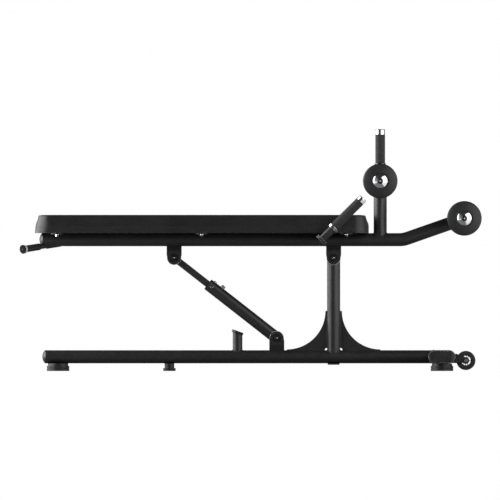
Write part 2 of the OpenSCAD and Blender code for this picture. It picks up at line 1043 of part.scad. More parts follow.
module pad_board() {
    inset = seam_d;
    l = pad_l - 2 * inset;
    w = pad_w - 2 * inset;
    r = pad_corner_r - inset;
    color(plastic)
        difference() {
            translate([pad_x, 0, pad_bottom])
                linear_extrude(board_t) {
                    square([l - 2 * r, w], center = true);
                    square([l, w - 2 * r], center = true);
                    for (x = [-1, 1])
                        for (y = [-1, 1])
                            translate([x * (l / 2 - r), y * (w / 2 - r)])
                                circle(r = r);
                }
            at_pad_bolts()
                translate([0, 0, pad_bottom - cut])
                    cylinder(h = board_t - 2 + cut, d = pad_bolt_d + 2 * run_gap);
        }
}

// Rounded rectangle drawn in by inset
function pad_outline(inset) =
    let (
        r = max(pad_corner_r - inset, 4),
        x = pad_l / 2 - inset - r,
        y = max(pad_w / 2 - inset - r, 0)
    )
    [
        for (c = [0:3])
            for (i = [0:corner_steps])
                let (a = (c + i / corner_steps) * 90)
                [
                    (c == 0 || c == 3 ? x : -x) + r * cos(a),
                    (c < 2 ? y : -y) + r * sin(a)
                ]
    ];

module pad_cushion() {
    n = 4 * (corner_steps + 1);
    rings = len(pad_rings);
    points = [
        for (ring = pad_rings)
            for (p = pad_outline(ring[1]))
                [p[0], p[1], ring[0]]
    ];
    sides = [
        for (k = [0:rings - 2])
            for (i = [0:n - 1])
                let (j = (i + 1) % n)
                each [
                    [k * n + i, (k + 1) * n + i, (k + 1) * n + j],
                    [k * n + i, (k + 1) * n + j, k * n + j]
                ]
    ];
    color(leather)
        translate([pad_x, 0, pad_bottom])
            polyhedron(
                points,
                concat(
                    [[for (i = [0:n - 1]) i]],
                    sides,
                    [[for (i = [n - 1:-1:0]) (rings - 1) * n + i]]
                )
            );
}

// Outline of the knee post about its axis, from the bench beam to the grip's cap
module knee_post_half(wall) {
    shoulder_z = knee_z + 42;
    neck_z = shoulder_z + 10;
    tip_r = post_tip_d / 2;
    top = post_top_z - post_cap_h;
    polygon([
        [0, bench_z],
        [post_r - wall, bench_z],
        [post_r - wall, shoulder_z],
        [tip_r - wall, neck_z],
        [tip_r - wall, top],
        [0, top]
    ]);
}

module knee_post() {
    color(steel)
        difference() {
            translate([knee_x, 0, 0])
                rotate_extrude()
                    knee_post_half(0);
            translate([knee_x, 0, -cut])
                rotate_extrude()
                    knee_post_half(tube_wall);
            bench_bar_solid();
            translate([knee_x, 0, knee_z])
                rod_y(-post_d, post_d, axle_d / 2 + run_gap);
        }
}

// Rubber sleeve about Z with a bead at each end
module grip_sleeve(l, outer_d, inner_d) {
    bead = 2;
    rotate_extrude()
        difference() {
            union() {
                translate([0, bead])
                    square([outer_d / 2 - 0.8, l - 2 * bead]);
                soft_half(l, outer_d / 2, bead);
            }
            translate([0, -cut])
                square([inner_d / 2, l + 2 * cut]);
        }
}

module post_grip() {
    color(rubber)
        translate([knee_x, 0, post_grip_z])
            grip_sleeve(post_top_z - post_cap_h - post_grip_z, post_grip_d,
                post_tip_d + 2 * run_gap);
}

module post_grip_cap() {
    color(chrome)
        translate([knee_x, 0, post_top_z - post_cap_h])
            rotate_extrude() {
                square([post_grip_d / 2, post_cap_h / 2]);
                soft_half(post_cap_h, post_grip_d / 2, 4);
            }
}

// Ring along X with bevelled edges
module ring_x(x0, x1, outer_d, inner_d) {
    bevel = 1;
    l = x1 - x0;
    translate([x0, 0, 0])
        rotate([0, 90, 0])
            rotate_extrude()
                polygon([
                    [inner_d / 2, 0],
                    [outer_d / 2 - bevel, 0],
                    [outer_d / 2, bevel],
                    [outer_d / 2, l - bevel],
                    [outer_d / 2 - bevel, l],
                    [inner_d / 2, l]
                ]);
}

module handle_tube_solid() {
    along_handle()
        rod_x(handle_flange_t, handle_tube_end, handle_d / 2);
}

module handle_flange_solid() {
    along_handle()
        ring_x(0, handle_flange_t, handle_flange_d, 0);
}

module handle_cross_tube() {
    color(steel)
        difference() {
            translate([handle_cross_x, 0, handle_cross_z])
                difference() {
                    rod_y(-handle_y, handle_y, cross_d / 2);
                    rod_y(-handle_y - cut, handle_y + cut, cross_d / 2 - tube_wall);
                }
            both_sides() {
                along_handle()
                    rod_x(handle_flange_t / 2, handle_tube_end, handle_d / 2);
                handle_flange_solid();
            }
        }
}

module side_handle_tubes() {
    color(chrome)
        both_sides()
            difference() {
                handle_tube_solid();
                along_handle()
                    rod_x(handle_flange_t + 2, handle_tube_end + cut, handle_d / 2 - tube_wall);
            }
}

module handle_flanges() {
    color(chrome)
        both_sides()
            handle_flange_solid();
}

module chrome_collars() {
    post_collar_h = 10;
    color(chrome) {
        both_sides()
            along_handle()
                ring_x(collar_s, collar_s + collar_l, collar_d, handle_d + 2 * run_gap);
        translate([knee_x, 0, post_grip_z])
            rotate([0, 90, 0])
                ring_x(0, post_collar_h, collar_d, post_tip_d + 2 * run_gap);
    }
}

module side_handle_grips() {
    start = collar_s + collar_l;
    color(rubber)
        both_sides()
            along_handle()
                translate([start, 0, 0])
                    rotate([0, 90, 0])
                        grip_sleeve(handle_tube_end - start, handle_grip_d, handle_d + 2 * run_gap);
}

module side_handle_caps() {
    color(chrome)
        both_sides()
            along_handle() {
                rod_x(handle_tube_end, handle_tube_end + handle_cap_l / 2, handle_grip_d / 2 - 1);
                soft_rod_x(handle_tube_end, handle_l, handle_grip_d / 2 - 1, 4);
            }
}

module lift_handle() {
    color(chrome)
        difference() {
            union() {
                both_sides()
                    along_lift_arm()
                        rod_x(0, lift_ring_s + lift_ring_l / 2, lift_d / 2);
                translate([lift_x, 0, lift_z]) {
                    sphere(d = lift_d);
                    rotate([0, -lift_slope, 0])
                        rod_x(0, spigot_l, spigot_d / 2);
                }
            }
            bench_bar_solid();
            translate([bench_front_x, 0, bench_z])
                dome_cap();
        }
}

module lift_handle_grips() {
    color(rubber)
        both_sides()
            along_lift_arm()
                translate([lift_grip_s, 0, 0])
                    rotate([0, 90, 0])
                        grip_sleeve(lift_ring_s - lift_grip_s, lift_grip_d, lift_d + 2 * run_gap);
}

module lift_handle_rings() {
    color(chrome)
        both_sides()
            along_lift_arm() {
                ring_x(lift_ring_s, lift_ring_s + lift_ring_l, lift_knob_d - 1,
                    2 * (lift_neck_r + run_gap));
                ring_x(lift_l, lift_l + 1.5, 6, 0);
            }
}

// Plug over the end of the bar: a neck inside the ring and a bevelled face before it
module lift_handle_knobs() {
    face_r = lift_knob_d / 2;
    color(plastic)
        both_sides()
            along_lift_arm()
                translate([lift_ring_s, 0, 0])
                    rotate([0, 90, 0])
                        rotate_extrude()
                            difference() {
                                union() {
                                    square([lift_neck_r, lift_ring_l + 1]);
                                    translate([0, lift_ring_l])
                                        polygon([
                                            [0, 0],
                                            [face_r, 0],
                                            [face_r, 1],
                                            [face_r - 2, lift_plug_t],
                                            [0, lift_plug_t]
                                        ]);
                                }
                                translate([0, -cut])
                                    square([lift_d / 2 + run_gap, lift_ring_l / 2 + cut + run_gap]);
                            }
}

// Rollers

module at_knee_axle() {
    translate([knee_x, 0, knee_z])
        children();
}

module at_foot_axle() {
    translate([foot_axle_x, 0, foot_axle_z])
        children();
}

module roller_axles() {
    color(steel) {
        at_knee_axle()
            rod_y(-axle_half, axle_half, axle_d / 2);
        at_foot_axle()
            rod_y(-axle_half, axle_half, axle_d / 2);
    }
}

// Foam about its axle on the right-hand side
module roller_foam() {
    translate([0, -roller_in_y, 0])
        rotate([90, 0, 0])
            rotate_extrude($fn = 96)
                difference() {
                    soft_half(roller_l, roller_d / 2, roller_edge_r);
                    translate([0, -cut])
                        square([axle_d / 2 + sleeve_wall + 2 * run_gap, roller_l + 2 * cut]);
                }
}

// Plastic sleeve inside the foam, which turns on the axle
module roller_sleeve() {
    difference() {
        rod_y(-sleeve_out_y, -sleeve_in_y, axle_d / 2 + sleeve_wall);
        rod_y(-sleeve_out_y - cut, cut - sleeve_in_y, axle_d / 2 + run_gap);
    }
}

module knee_foam_right() {
    color(foam)
        at_knee_axle()
            roller_foam();
}

module knee_foam_left() {
    color(foam)
        at_knee_axle()
            mirror([0, 1, 0])
                roller_foam();
}

module foot_foam_right() {
    color(foam)
        at_foot_axle()
            roller_foam();
}

module foot_foam_left() {
    color(foam)
        at_foot_axle()
            mirror([0, 1, 0])
                roller_foam();
}

module knee_sleeve_right() {
    color(plastic)
        at_knee_axle()
            roller_sleeve();
}

module knee_sleeve_left() {
    color(plastic)
        at_knee_axle()
            mirror([0, 1, 0])
                roller_sleeve();
}

module foot_sleeve_right() {
    color(plastic)
        at_foot_axle()
            roller_sleeve();
}

module foot_sleeve_left() {
    color(plastic)
        at_foot_axle()
            mirror([0, 1, 0])
                roller_sleeve();
}

// Chrome disc on the axle's right-hand end, its face domed round a flat seat
module end_disc() {
    rim = 1.5;
    seat_r = disc_bolt_r + 6.5;
    ball_z = (seat_r * seat_r + disc_t * disc_t - disc_r * disc_r - rim * rim)
        / (2 * (disc_t - rim));
    translate([0, -axle_half, 0])
        rotate([90, 0, 0])
            difference() {
                intersection() {
                    cylinder(h = disc_t, r = disc_r);
                    translate([0, 0, ball_z])
                        sphere(r = sqrt(disc_r * disc_r + pow(rim - ball_z, 2)), $fn = 96);
                }
                translate([0, 0, -cut])
                    cylinder(h = disc_t + 2 * cut, r = disc_bolt_r + run_gap);
            }
}

// Collar that keeps a roller off its post, from inner_y out to the sleeve
module axle_collar(inner_y) {
    difference() {
        rod_y(face_gap - sleeve_in_y, -inner_y, axle_d / 2 + 4);
        rod_y(-roller_in_y, 0, axle_d / 2 + run_gap);
    }
}

module roller_discs() {
    color(chrome) {
        at_knee_axle()
            both_sides() {
                end_disc();
                axle_collar(post_r + face_gap);
            }
        at_foot_axle()
            both_sides() {
                end_disc();
                axle_collar(housing_half);
            }
    }
}

module roller_disc_bolts() {
    color(plastic)
        for (place = [[knee_x, knee_z], [foot_axle_x, foot_axle_z]])
            translate([place[0], 0, place[1]])
                both_sides()
                    translate([0, -axle_half, 0])
                        rotate([90, 0, 0])
                            difference() {
                                union() {
                                    cylinder(h = disc_t, r = disc_bolt_r);
                                    translate([0, 0, disc_t])
                                        cylinder(h = 4, r1 = 10.5, r2 = 8.5);
                                }
                                translate([0, 0, disc_t + 1])
                                    cylinder(h = 4, r = 4, $fn = 6);
                            }
}

// Strut, drawn in its own frame

// Holes of the screws, and of the lock pin on the left-hand side
module strut_holes() {
    translate([-lock_s, 0, 0]) {
        rod_y(0, strut_d, lock_pin_d / 2 + face_gap);
        cylinder(h = strut_d, r = screw_r + run_gap);
    }
    translate([-screw_s, 0, 0]) {
        rod_y(-strut_d, 0, screw_r + run_gap);
        cylinder(h = strut_d, r = screw_r + run_gap);
    }
}

module strut_outer_tube() {
    color(steel)
        along_strut()
            difference() {
                union() {
                    difference() {
                        rod_x(-strut_outer_l, 0, strut_r);
                        rod_x(-strut_outer_l - cut, cut, strut_r - strut_wall);
                    }
                    rod_y(-bush_half, bush_half, bush_d / 2);
                }
                rod_y(-bush_half - cut, bush_half + cut, pin_r + run_gap);
                strut_holes();
            }
}

// Nylon guide in the mouth of the outer tube, square inside
module strut_guide() {
    hole = inner_w + 2 * face_gap;
    color(plastic)
        along_strut()
            difference() {
                union() {
                    rod_x(-strut_outer_l, -strut_outer_l + guide_l, strut_r - strut_wall - 2 * run_gap);
                    rod_x(-strut_outer_l - guide_lip, -strut_outer_l, strut_r - 1);
                }
                translate([-strut_outer_l - guide_lip - cut, -hole / 2, -hole / 2])
                    cube([guide_l + guide_lip + 2 * cut, hole, hole]);
                strut_holes();
            }
}

// Screw that holds the guide, its head sitting on the tube
module guide_screw(head_r, head_h) {
    tip = inner_w / 2 + 2 * face_gap;
    translate([0, 0, tip])
        cylinder(h = strut_r - tip, r = screw_r);
    difference() {
        translate([0, 0, strut_r - 2])
            cylinder(h = head_h + 2, r1 = head_r, r2 = head_r - 1);
        translate([0, 0, strut_r + head_h - 2])
            cylinder(h = 3, r = 2.5, $fn = 6);
        rod_x(-strut_d, strut_d, strut_r);
    }
}

module strut_screws() {
    color(chrome)
        along_strut() {
            translate([-screw_s, 0, 0]) {
                guide_screw(6.5, 4);
                rotate([90, 0, 0])
                    guide_screw(6.5, 4);
            }
            translate([-lock_s, 0, 0])
                guide_screw(8.5, 10);
        }
}

module strut_inner_tube() {
    corner = 3;
    flat = inner_w - 2 * corner;
    color(steel)
        along_strut()
            difference() {
                union() {
                    translate([-strut_l, 0, 0])
                        rotate([90, 0, 90])
                            linear_extrude(inner_l) {
                                square([inner_w, flat], center = true);
                                square([flat, inner_w], center = true);
                                for (y = [-1, 1])
                                    for (z = [-1, 1])
                                        translate([y * flat / 2, z * flat / 2])
                                            circle(r = corner, $fn = 32);
                            }
                    translate([-strut_l, 0, 0])
                        rod_y(-bush_half, bush_half, bush_d / 2);
                }
                translate([-strut_l + bush_d / 2, -inner_w / 2 + inner_wall, -inner_w / 2 + inner_wall])
                    cube([inner_l, inner_w - 2 * inner_wall, inner_w - 2 * inner_wall]);
                translate([-strut_l, 0, 0])
                    rod_y(-bush_half - cut, bush_half + cut, pin_r + eye_gap);
                for (i = [0:lock_holes - 1])
                    translate([-lock_s - i * strut_stroke / (lock_holes - 1), 0, 0])
                        rod_y(0, inner_w, lock_pin_d / 2 + 0.75);
            }
}

module at_lock_pin() {
    along_strut()
        translate([-lock_s, 0, 0])
            rotate([-90, 0, 0])
                children();
}

module lock_housing() {
    color(chrome)
        at_lock_pin()
            difference() {
                cylinder(h = lock_housing_z, r = lock_housing_r);
                translate([0, 0, -cut])
                    cylinder(h = lock_housing_z + 2 * cut, d = lock_pin_d + 2 * face_gap);
                rod_x(-strut_d, strut_d, strut_r);
            }
}

// Pull pin, drawn pulled out: its tip clears the inner tube
module lock_pin() {
    tip_z = inner_w / 2 + face_gap;
    knob_z = lock_housing_z + face_gap + lock_travel;
    color(chrome)
        at_lock_pin() {
            translate([0, 0, tip_z])
                cylinder(h = knob_z - tip_z, d = lock_pin_d);
            translate([0, 0, knob_z])
                rotate_extrude()
                    soft_half(16, 11, 3);
        }
}

base_beam();
beam_end_caps();
rear_crossbar();
crossbar_end_caps();
upright_post();
post_bush();
post_foot_plate();
front_gusset();
rear_gusset();
strut_lower_bracket();
strut_lower_bolt();
strut_lower_washers();
rest_stop_post();
rest_stop_pad();
foot_mounts();
foot_soles();
wheel_brackets();
wheel_bolts();
wheel_left();
wheel_right();
bench_beam();
bench_end_cap();
main_bracket();
strut_upper_bracket();
bench_bolts();
bench_washers();
pad_wings();
pad_bolts();
pad_board();
pad_cushion();
knee_post();
post_grip();
post_grip_cap();
handle_cross_tube();
side_handle_tubes();
handle_flanges();
chrome_collars();
side_handle_grips();
side_handle_caps();
lift_handle();
lift_handle_grips();
lift_handle_rings();
lift_handle_knobs();
roller_axles();
roller_discs();
roller_disc_bolts();
knee_foam_left();
knee_foam_right();
foot_foam_left();
foot_foam_right();
knee_sleeve_left();
knee_sleeve_right();
foot_sleeve_left();
foot_sleeve_right();
strut_outer_tube();
strut_guide();
strut_screws();
strut_inner_tube();
lock_housing();
lock_pin();
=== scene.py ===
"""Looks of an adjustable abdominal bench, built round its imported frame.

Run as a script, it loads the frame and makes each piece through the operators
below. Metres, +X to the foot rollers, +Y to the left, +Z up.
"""

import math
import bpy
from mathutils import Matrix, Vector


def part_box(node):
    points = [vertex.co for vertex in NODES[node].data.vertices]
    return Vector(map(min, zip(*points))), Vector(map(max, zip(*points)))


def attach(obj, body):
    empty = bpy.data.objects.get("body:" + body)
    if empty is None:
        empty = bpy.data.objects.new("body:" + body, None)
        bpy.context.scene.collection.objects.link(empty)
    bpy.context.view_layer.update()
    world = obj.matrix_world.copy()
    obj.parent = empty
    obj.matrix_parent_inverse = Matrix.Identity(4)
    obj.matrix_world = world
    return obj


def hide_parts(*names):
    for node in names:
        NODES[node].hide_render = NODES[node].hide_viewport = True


bl_info = {
    "name": "Abdominal Bench Looks",
    "version": (1, 0, 0),
    "blender": (4, 5, 0),
    "location": "3D View > Sidebar > Bench",
    "description": "Finishes, soft pieces and stage of an adjustable abdominal bench",
    "category": "Object",
}

from itertools import groupby

import bmesh
import bpy
import numpy as np
from bpy.props import FloatProperty, FloatVectorProperty, PointerProperty
from bpy.types import Operator, Panel, PropertyGroup
from mathutils import Matrix, Vector
from mathutils.kdtree import KDTree

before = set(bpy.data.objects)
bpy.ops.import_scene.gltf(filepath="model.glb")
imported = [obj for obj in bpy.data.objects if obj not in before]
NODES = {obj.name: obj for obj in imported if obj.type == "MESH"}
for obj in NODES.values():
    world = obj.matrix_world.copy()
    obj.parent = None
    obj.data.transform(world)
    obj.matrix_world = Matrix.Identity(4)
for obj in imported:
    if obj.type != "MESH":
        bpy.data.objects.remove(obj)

MM = 0.001
SIDES = {"left": 1, "right": -1}

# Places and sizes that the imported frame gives
BOARD_LOW, BOARD_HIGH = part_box("pad_board")
PAD_LOW, PAD_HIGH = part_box("pad_cushion")
PAD_MIDDLE = (PAD_LOW + PAD_HIGH) / 2
PAD_LENGTH = PAD_HIGH.x - PAD_LOW.x
PAD_WIDTH = PAD_HIGH.y - PAD_LOW.y
PAD_UNDER = BOARD_LOW.z
BASE_LOW, BASE_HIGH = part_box("base_beam")
BENCH_END_LOW, BENCH_END_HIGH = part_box("bench_end_cap")
POST_LOW, POST_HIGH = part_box("upright_post")
KNEE_LOW, KNEE_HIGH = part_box("knee_post")
BASE_AXIS_Z = (BASE_LOW.z + BASE_HIGH.z) / 2
BENCH_AXIS_Z = (BENCH_END_LOW.z + BENCH_END_HIGH.z) / 2
TUBE_R = (BASE_HIGH.z - BASE_LOW.z) / 2
TUBE_FLAT = (BASE_HIGH.y - BASE_LOW.y) / 2 - TUBE_R
POST_R = (POST_HIGH.y - POST_LOW.y) / 2
POST_X = (POST_LOW.x + POST_HIGH.x) / 2
KNEE_X = (KNEE_LOW.x + KNEE_HIGH.x) / 2

# Lean of the strut in degrees, and how far within the box of the lift handle's rings
# the screws in its plugs lie
STRUT_ANGLE = 38
SCREW_FROM_END = 8.7 * MM
SCREW_FROM_SIDE = 8.1 * MM

PAINTED = (
    "base_beam", "rear_crossbar", "upright_post", "post_bush", "post_foot_plate",
    "front_gusset", "rear_gusset", "strut_lower_bracket", "rest_stop_post",
    "wheel_brackets", "bench_beam", "main_bracket", "strut_upper_bracket", "pad_wings",
    "knee_post", "handle_cross_tube", "side_handle_tubes", "lift_handle",
    "strut_outer_tube",
)
CHROMED = (
    "pad_bolts", "post_grip_cap", "side_handle_caps", "roller_discs", "strut_screws",
    "lock_housing", "lock_pin",
)
WASHERS = ("strut_lower_washers", "bench_washers")
PLATED = ("wheel_bolts", "roller_axles")
BLACKENED = ("strut_lower_bolt", "bench_bolts", "roller_disc_bolts")
GRIPS = ("post_grip", "side_handle_grips", "lift_handle_grips")
RUBBERS = ("foot_soles", "rest_stop_pad")
MOULDED = ("beam_end_caps", "bench_end_cap", "foot_mounts", "strut_guide")
OUTLINED = ("handle_flanges", "crossbar_end_caps")
MATT = ("lift_handle_knobs",)
WHEELS = ("wheel_left", "wheel_right")
SLEEVES = (
    "knee_sleeve_left", "knee_sleeve_right", "foot_sleeve_left", "foot_sleeve_right",
)


# Sizes and colours that a user may change

def colour_property(name, description, default):
    return FloatVectorProperty(
        name=name, description=description, default=default, subtype="COLOR", size=3,
        min=0, max=1,
    )


def length_property(name, description, default):
    return FloatProperty(
        name=name, description=description, default=default, unit="LENGTH",
        subtype="DISTANCE", min=0,
    )


def share_property(name, description, default):
    return FloatProperty(
        name=name, description=description, default=default, subtype="FACTOR",
        min=0, max=1,
    )


def radiance_property(name, description, default):
    return FloatProperty(name=name, description=description, default=default, min=0)


class BENCH_PG_metal(PropertyGroup):
    """Paint, chrome and weld beads of the steel pieces"""

    paint: colour_property("Paint", "Colour of the powder coat", (0.019, 0.019, 0.0195))
    paint_roughness: share_property("Paint roughness", "Satin of the powder coat", 0.37)
    peel: length_property("Orange peel", "Depth of the powder coat's ripple", 0.00004)
    chrome: colour_property("Chrome", "Colour of the chromed trim", (0.80, 0.81, 0.83))
    chrome_roughness: share_property("Chrome roughness", "Blur of the chrome", 0.06)
    plated: colour_property("Plating", "Colour of the plated bolts", (0.42, 0.42, 0.43))
    blackened: colour_property("Black oxide", "Colour of the pivot bolts", (0.006,) * 3)
    bead: length_property("Weld bead", "Radius of a weld bead", 0.0021)
    bead_step: length_property("Weld step", "Distance between two ripples", 0.0026)


class BENCH_PG_plastic(PropertyGroup):
    """Rubber and moulded plastic"""

    grip: colour_property("Grip", "Colour of the rubber grips", (0.022, 0.022, 0.022))
    sole: colour_property("Sole", "Colour of the rubber soles", (0.018, 0.018, 0.018))
    cap: colour_property("Cap", "Colour of the moulded caps", (0.016, 0.016, 0.017))
    wheel: colour_property("Wheel", "Colour of the wheels", (0.020, 0.020, 0.020))


class BENCH_PG_pad(PropertyGroup):
    """The upholstered pad"""

    vinyl: colour_property("Vinyl", "Colour of the pad's cover", (0.010, 0.010, 0.0105))
    vinyl_roughness: share_property("Vinyl roughness", "Gloss of the pad's cover", 0.42)
    # The sheen is set only near the pad's ends, where it paints a light rim: a painted highlight
    sheen: share_property("Sheen", "Light rim of the dust at the cover's ends", 1.0)
    grain: length_property("Grain", "Size of the vinyl's grain", 0.0022)
    board: colour_property("Board", "Colour of the pad's board", (0.075, 0.052, 0.036))
    corner: length_property("Corner", "Radius of the pad's corners", 0.056)
    pucker: length_property("Pucker", "Depth of the folds at the corners", 0.0009)
    crown: length_property("Crown", "How far the cover stands over its foam", 0.0008)
    swell: length_property("Swell", "Most that the cover swells by", 0.0012)
    stitch: length_property("Stitch", "Length of a stitch", 0.0042)
    stitch_step: length_property("Stitch step", "Distance between two stitches", 0.0062)
    staple_step: length_property("Staple step", "Distance between two staples", 0.032)


class BENCH_PG_rollers(PropertyGroup):
    """The foam rollers"""

    skin: colour_property("Skin", "Colour of the rollers' skin", (0.013, 0.013, 0.0135))
    skin_roughness: share_property("Skin roughness", "Gloss of the skin", 0.50)
    dish: length_property("Dish", "Depth of the pressed ring at the disc", 0.0016)
    fall: length_property("Fall", "How far a face falls back to its rim", 0.009)
    crease: length_property("Crease", "Depth of the creases along the rim", 0.00022)
    barrel: length_property("Barrel", "How much fuller a roller's middle is", 0.0008)


class BENCH_PG_stage(PropertyGroup):
    """Floor, light and camera"""

    floor: colour_property("Floor", "Colour of the floor", (0.80, 0.80, 0.80))
    left_light: radiance_property("Left light", "Radiance of the left softbox", 5.2)
    right_light: radiance_property("Right light", "Radiance of the right softbox", 2.1)
    rim_light: radiance_property("Rim light", "Radiance of the low walls at the sides", 0.40)
    glow: radiance_property("Floor glow", "Radiance of the floor beyond the ends", 0.8)
    front_wall: radiance_property("Front wall", "Radiance of the wall at the camera", 0.035)
    view_width: length_property("View width", "Width that the camera sees", 1.9)


class BENCH_PG_looks(PropertyGroup):
    """All that the operators read"""

    metal: PointerProperty(type=BENCH_PG_metal)
    plastic: PointerProperty(type=BENCH_PG_plastic)
    pad: PointerProperty(type=BENCH_PG_pad)
    rollers: PointerProperty(type=BENCH_PG_rollers)
    stage: PointerProperty(type=BENCH_PG_stage)


# Shader building

def add_node(tree, kind, inputs=None, **settings):
    """Adds a node. An input is set to a plain value, or linked where it is a socket."""
    node = tree.nodes.new(kind)
    for name, value in settings.items():
        setattr(node, name, value)
    for key, value in (inputs or {}).items():
        if isinstance(value, bpy.types.NodeSocket):
            tree.links.new(value, node.inputs[key])
        else:
            node.inputs[key].default_value = value
    return node


def math_of(tree, operation, *values):
    inputs = dict(enumerate(values))
    return add_node(tree, "ShaderNodeMath", inputs, operation=operation).outputs["Value"]


def vector_math(tree, operation, *values):
    inputs = dict(enumerate(values))
    return add_node(tree, "ShaderNodeVectorMath", inputs, operation=operation).outputs


def part_of(tree, coords, axis):
    return add_node(tree, "ShaderNodeSeparateXYZ", {"Vector": coords}).outputs[axis]


def distance_of(tree, value, place):
    return math_of(tree, "ABSOLUTE", math_of(tree, "SUBTRACT", value, place))


def spread(tree, value, low=0, high=1, from_low=0.3, from_high=0.7):
    """Maps a texture's middle range onto low..high."""
    return add_node(tree, "ShaderNodeMapRange", {
        "Value": value, "From Min": from_low, "From Max": from_high,
        "To Min": low, "To Max": high,
    }).outputs["Result"]


def mix_colours(tree, factor, first, second):
    first, second = (
        shade if isinstance(shade, bpy.types.NodeSocket) else (*shade, 1)
        for shade in (first, second)
    )
    return add_node(
        tree, "ShaderNodeMix", {0: factor, 6: first, 7: second}, data_type="RGBA",
    ).outputs[2]


def scaled(colour, factor):
    return tuple(min(1.0, c * factor) for c in colour)


class Finish:
    """A material on object coordinates, its shader built up layer by layer."""

    def __init__(self, name, colour, roughness, metallic=0.0, specular=0.5):
        self.material = bpy.data.materials.new(name)
        self.material.use_nodes = True
        self.tree = self.material.node_tree
        self.shader = self.tree.nodes["Principled BSDF"]
        self.colour, self.roughness = colour, roughness
        self.set("Base Color", (*colour, 1))
        self.set("Roughness", roughness)
        self.set("Metallic", metallic)
        self.set("Specular IOR Level", specular)
        self.coords = add_node(self.tree, "ShaderNodeTexCoord").outputs["Object"]

    def set(self, socket, value):
        self.shader.inputs[socket].default_value = value

    def link(self, value, socket):
        self.tree.links.new(value, self.shader.inputs[socket])

    def noise(self, scale, detail=2.0, roughness=0.5, coords=None, output="Fac"):
        return add_node(self.tree, "ShaderNodeTexNoise", {
            "Vector": self.coords if coords is None else coords,
            "Scale": scale, "Detail": detail, "Roughness": roughness,
        }).outputs[output]

    def stretched(self, scale, angle=0.0):
        """Coordinates scaled along each axis, after a turn about Y."""
        return add_node(self.tree, "ShaderNodeMapping", {
            "Vector": self.coords, "Rotation": (0, math.radians(angle), 0), "Scale": scale,
        }).outputs["Vector"]

    def mottle(self, factor, dark, light):
        """Colours the shader between two shades of its colour."""
        shades = mix_colours(
            self.tree, factor, scaled(self.colour, dark), scaled(self.colour, light))
        self.link(shades, "Base Color")

    def overlay(self, factor, colour):
        """Lays a colour over the shader's own where factor is 1."""
        under = self.shader.inputs["Base Color"].links[0].from_socket
        self.link(mix_colours(self.tree, factor, under, colour), "Base Color")

    def blur(self, texture, less, more):
        """Varies the roughness with a texture, by less down and by more up."""
        self.link(
            spread(self.tree, texture, self.roughness - less, self.roughness + more),
            "Roughness")

    def cloud(self, scale, dark, light, less, more):
        """Varies the colour and the roughness with one soft noise."""
        texture = self.noise(scale, 4.0, 0.6)
        self.mottle(spread(self.tree, texture), dark, light)
        self.blur(texture, less, more)

    def bevel(self, radius, samples=4):
        return add_node(
            self.tree, "ShaderNodeBevel", {"Radius": radius}, samples=samples).outputs["Normal"]

    def edges(self, radius, samples, sharp, flat):
        """1 along the edges, 0 on the flats."""
        real = add_node(self.tree, "ShaderNodeNewGeometry").outputs["Normal"]
        same = vector_math(self.tree, "DOT_PRODUCT", self.bevel(radius, samples), real)["Value"]
        return spread(self.tree, same, 1, 0, sharp, flat)

    def bumps(self, *layers, edge=0.0):
        """Stacks bump layers of (height, strength, distance) on edges rounded by edge."""
        normal = self.bevel(edge) if edge else None
        for height, strength, distance in layers:
            inputs = {"Height": height, "Strength": strength, "Distance": distance}
            if normal is not None:
                inputs["Normal"] = normal
            normal = add_node(self.tree, "ShaderNodeBump", inputs).outputs["Normal"]
        self.link(normal, "Normal")


def powder_coat(metal):
    """Satin paint, rubbed lighter on some edges by hands and boxes"""
    finish = Finish("satin_powder_coat", metal.paint, metal.paint_roughness, specular=0.45)
    finish.mottle(spread(finish.tree, finish.noise(9.0, 4.0, 0.6)), dark=0.88, light=1.12)
    touched = spread(
        finish.tree, finish.noise(60.0, 4.0, 0.65), from_low=0.42, from_high=0.62)
    edges = finish.edges(radius=0.0012, samples=4, sharp=0.80, flat=0.985)
    rubbed = math_of(finish.tree, "MULTIPLY", edges, touched)
    finish.overlay(rubbed, (0.06, 0.06, 0.062))
    finish.blur(finish.noise(26.0, 5.0, 0.62), less=0.05, more=0.06)
    finish.bumps((finish.noise(620.0, 2.0, 0.55), 0.55, metal.peel), edge=0.0009)
    return finish


def chrome_plate(metal, name="bright_chrome"):
    finish = Finish(name, metal.chrome, metal.chrome_roughness, metallic=1.0)
    finish.blur(finish.noise(55.0, 5.0, 0.6), less=0.02, more=0.05)
    finish.mottle(spread(finish.tree, finish.noise(30.0, 2.0)), dark=0.95, light=1.04)
    finish.bumps((finish.noise(1500.0, 3.0, 0.7), 0.08, 0.00002), edge=0.0006)
    return finish


def satin_chrome(metal, name, low, high):
    """Brushed chrome, between two roughnesses"""
    finish = chrome_plate(metal, name)
    finish.link(spread(finish.tree, finish.noise(300.0, 3.0), low, high), "Roughness")
    return finish


def collar_chrome(metal):
    """Chrome of the collars, with painted shade on the one under the knee post's grip"""
    finish = chrome_plate(metal, "collar_chrome")
    post_collar_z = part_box("post_grip")[0].z
    away = distance_of(finish.tree, part_of(finish.tree, finish.coords, "Z"), post_collar_z)
    # Painted shade: the chrome turns near black round the grip's foot, where the roller shades it
    dimmed = spread(finish.tree, away, 1, 0, 0.027, 0.033)
    finish.overlay(dimmed, scaled(metal.chrome, 0.12))
    return finish


def ring_chrome(metal):
    """Matt rings of the lift handle, with the duller screws in its plugs"""
    finish = satin_chrome(metal, "lift_ring_chrome", 0.70, 0.80)
    low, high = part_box("lift_handle_rings")
    screw = (-low.x - SCREW_FROM_END, high.y - SCREW_FROM_SIDE, (low.z + high.z) / 2)
    either_side = vector_math(finish.tree, "ABSOLUTE", finish.coords)["Vector"]
    away = vector_math(finish.tree, "DISTANCE", either_side, screw)["Value"]
    dimmed = spread(finish.tree, away, 1, 0, 0.0055, 0.0065)
    finish.overlay(dimmed, scaled(metal.chrome, 0.2))
    return finish


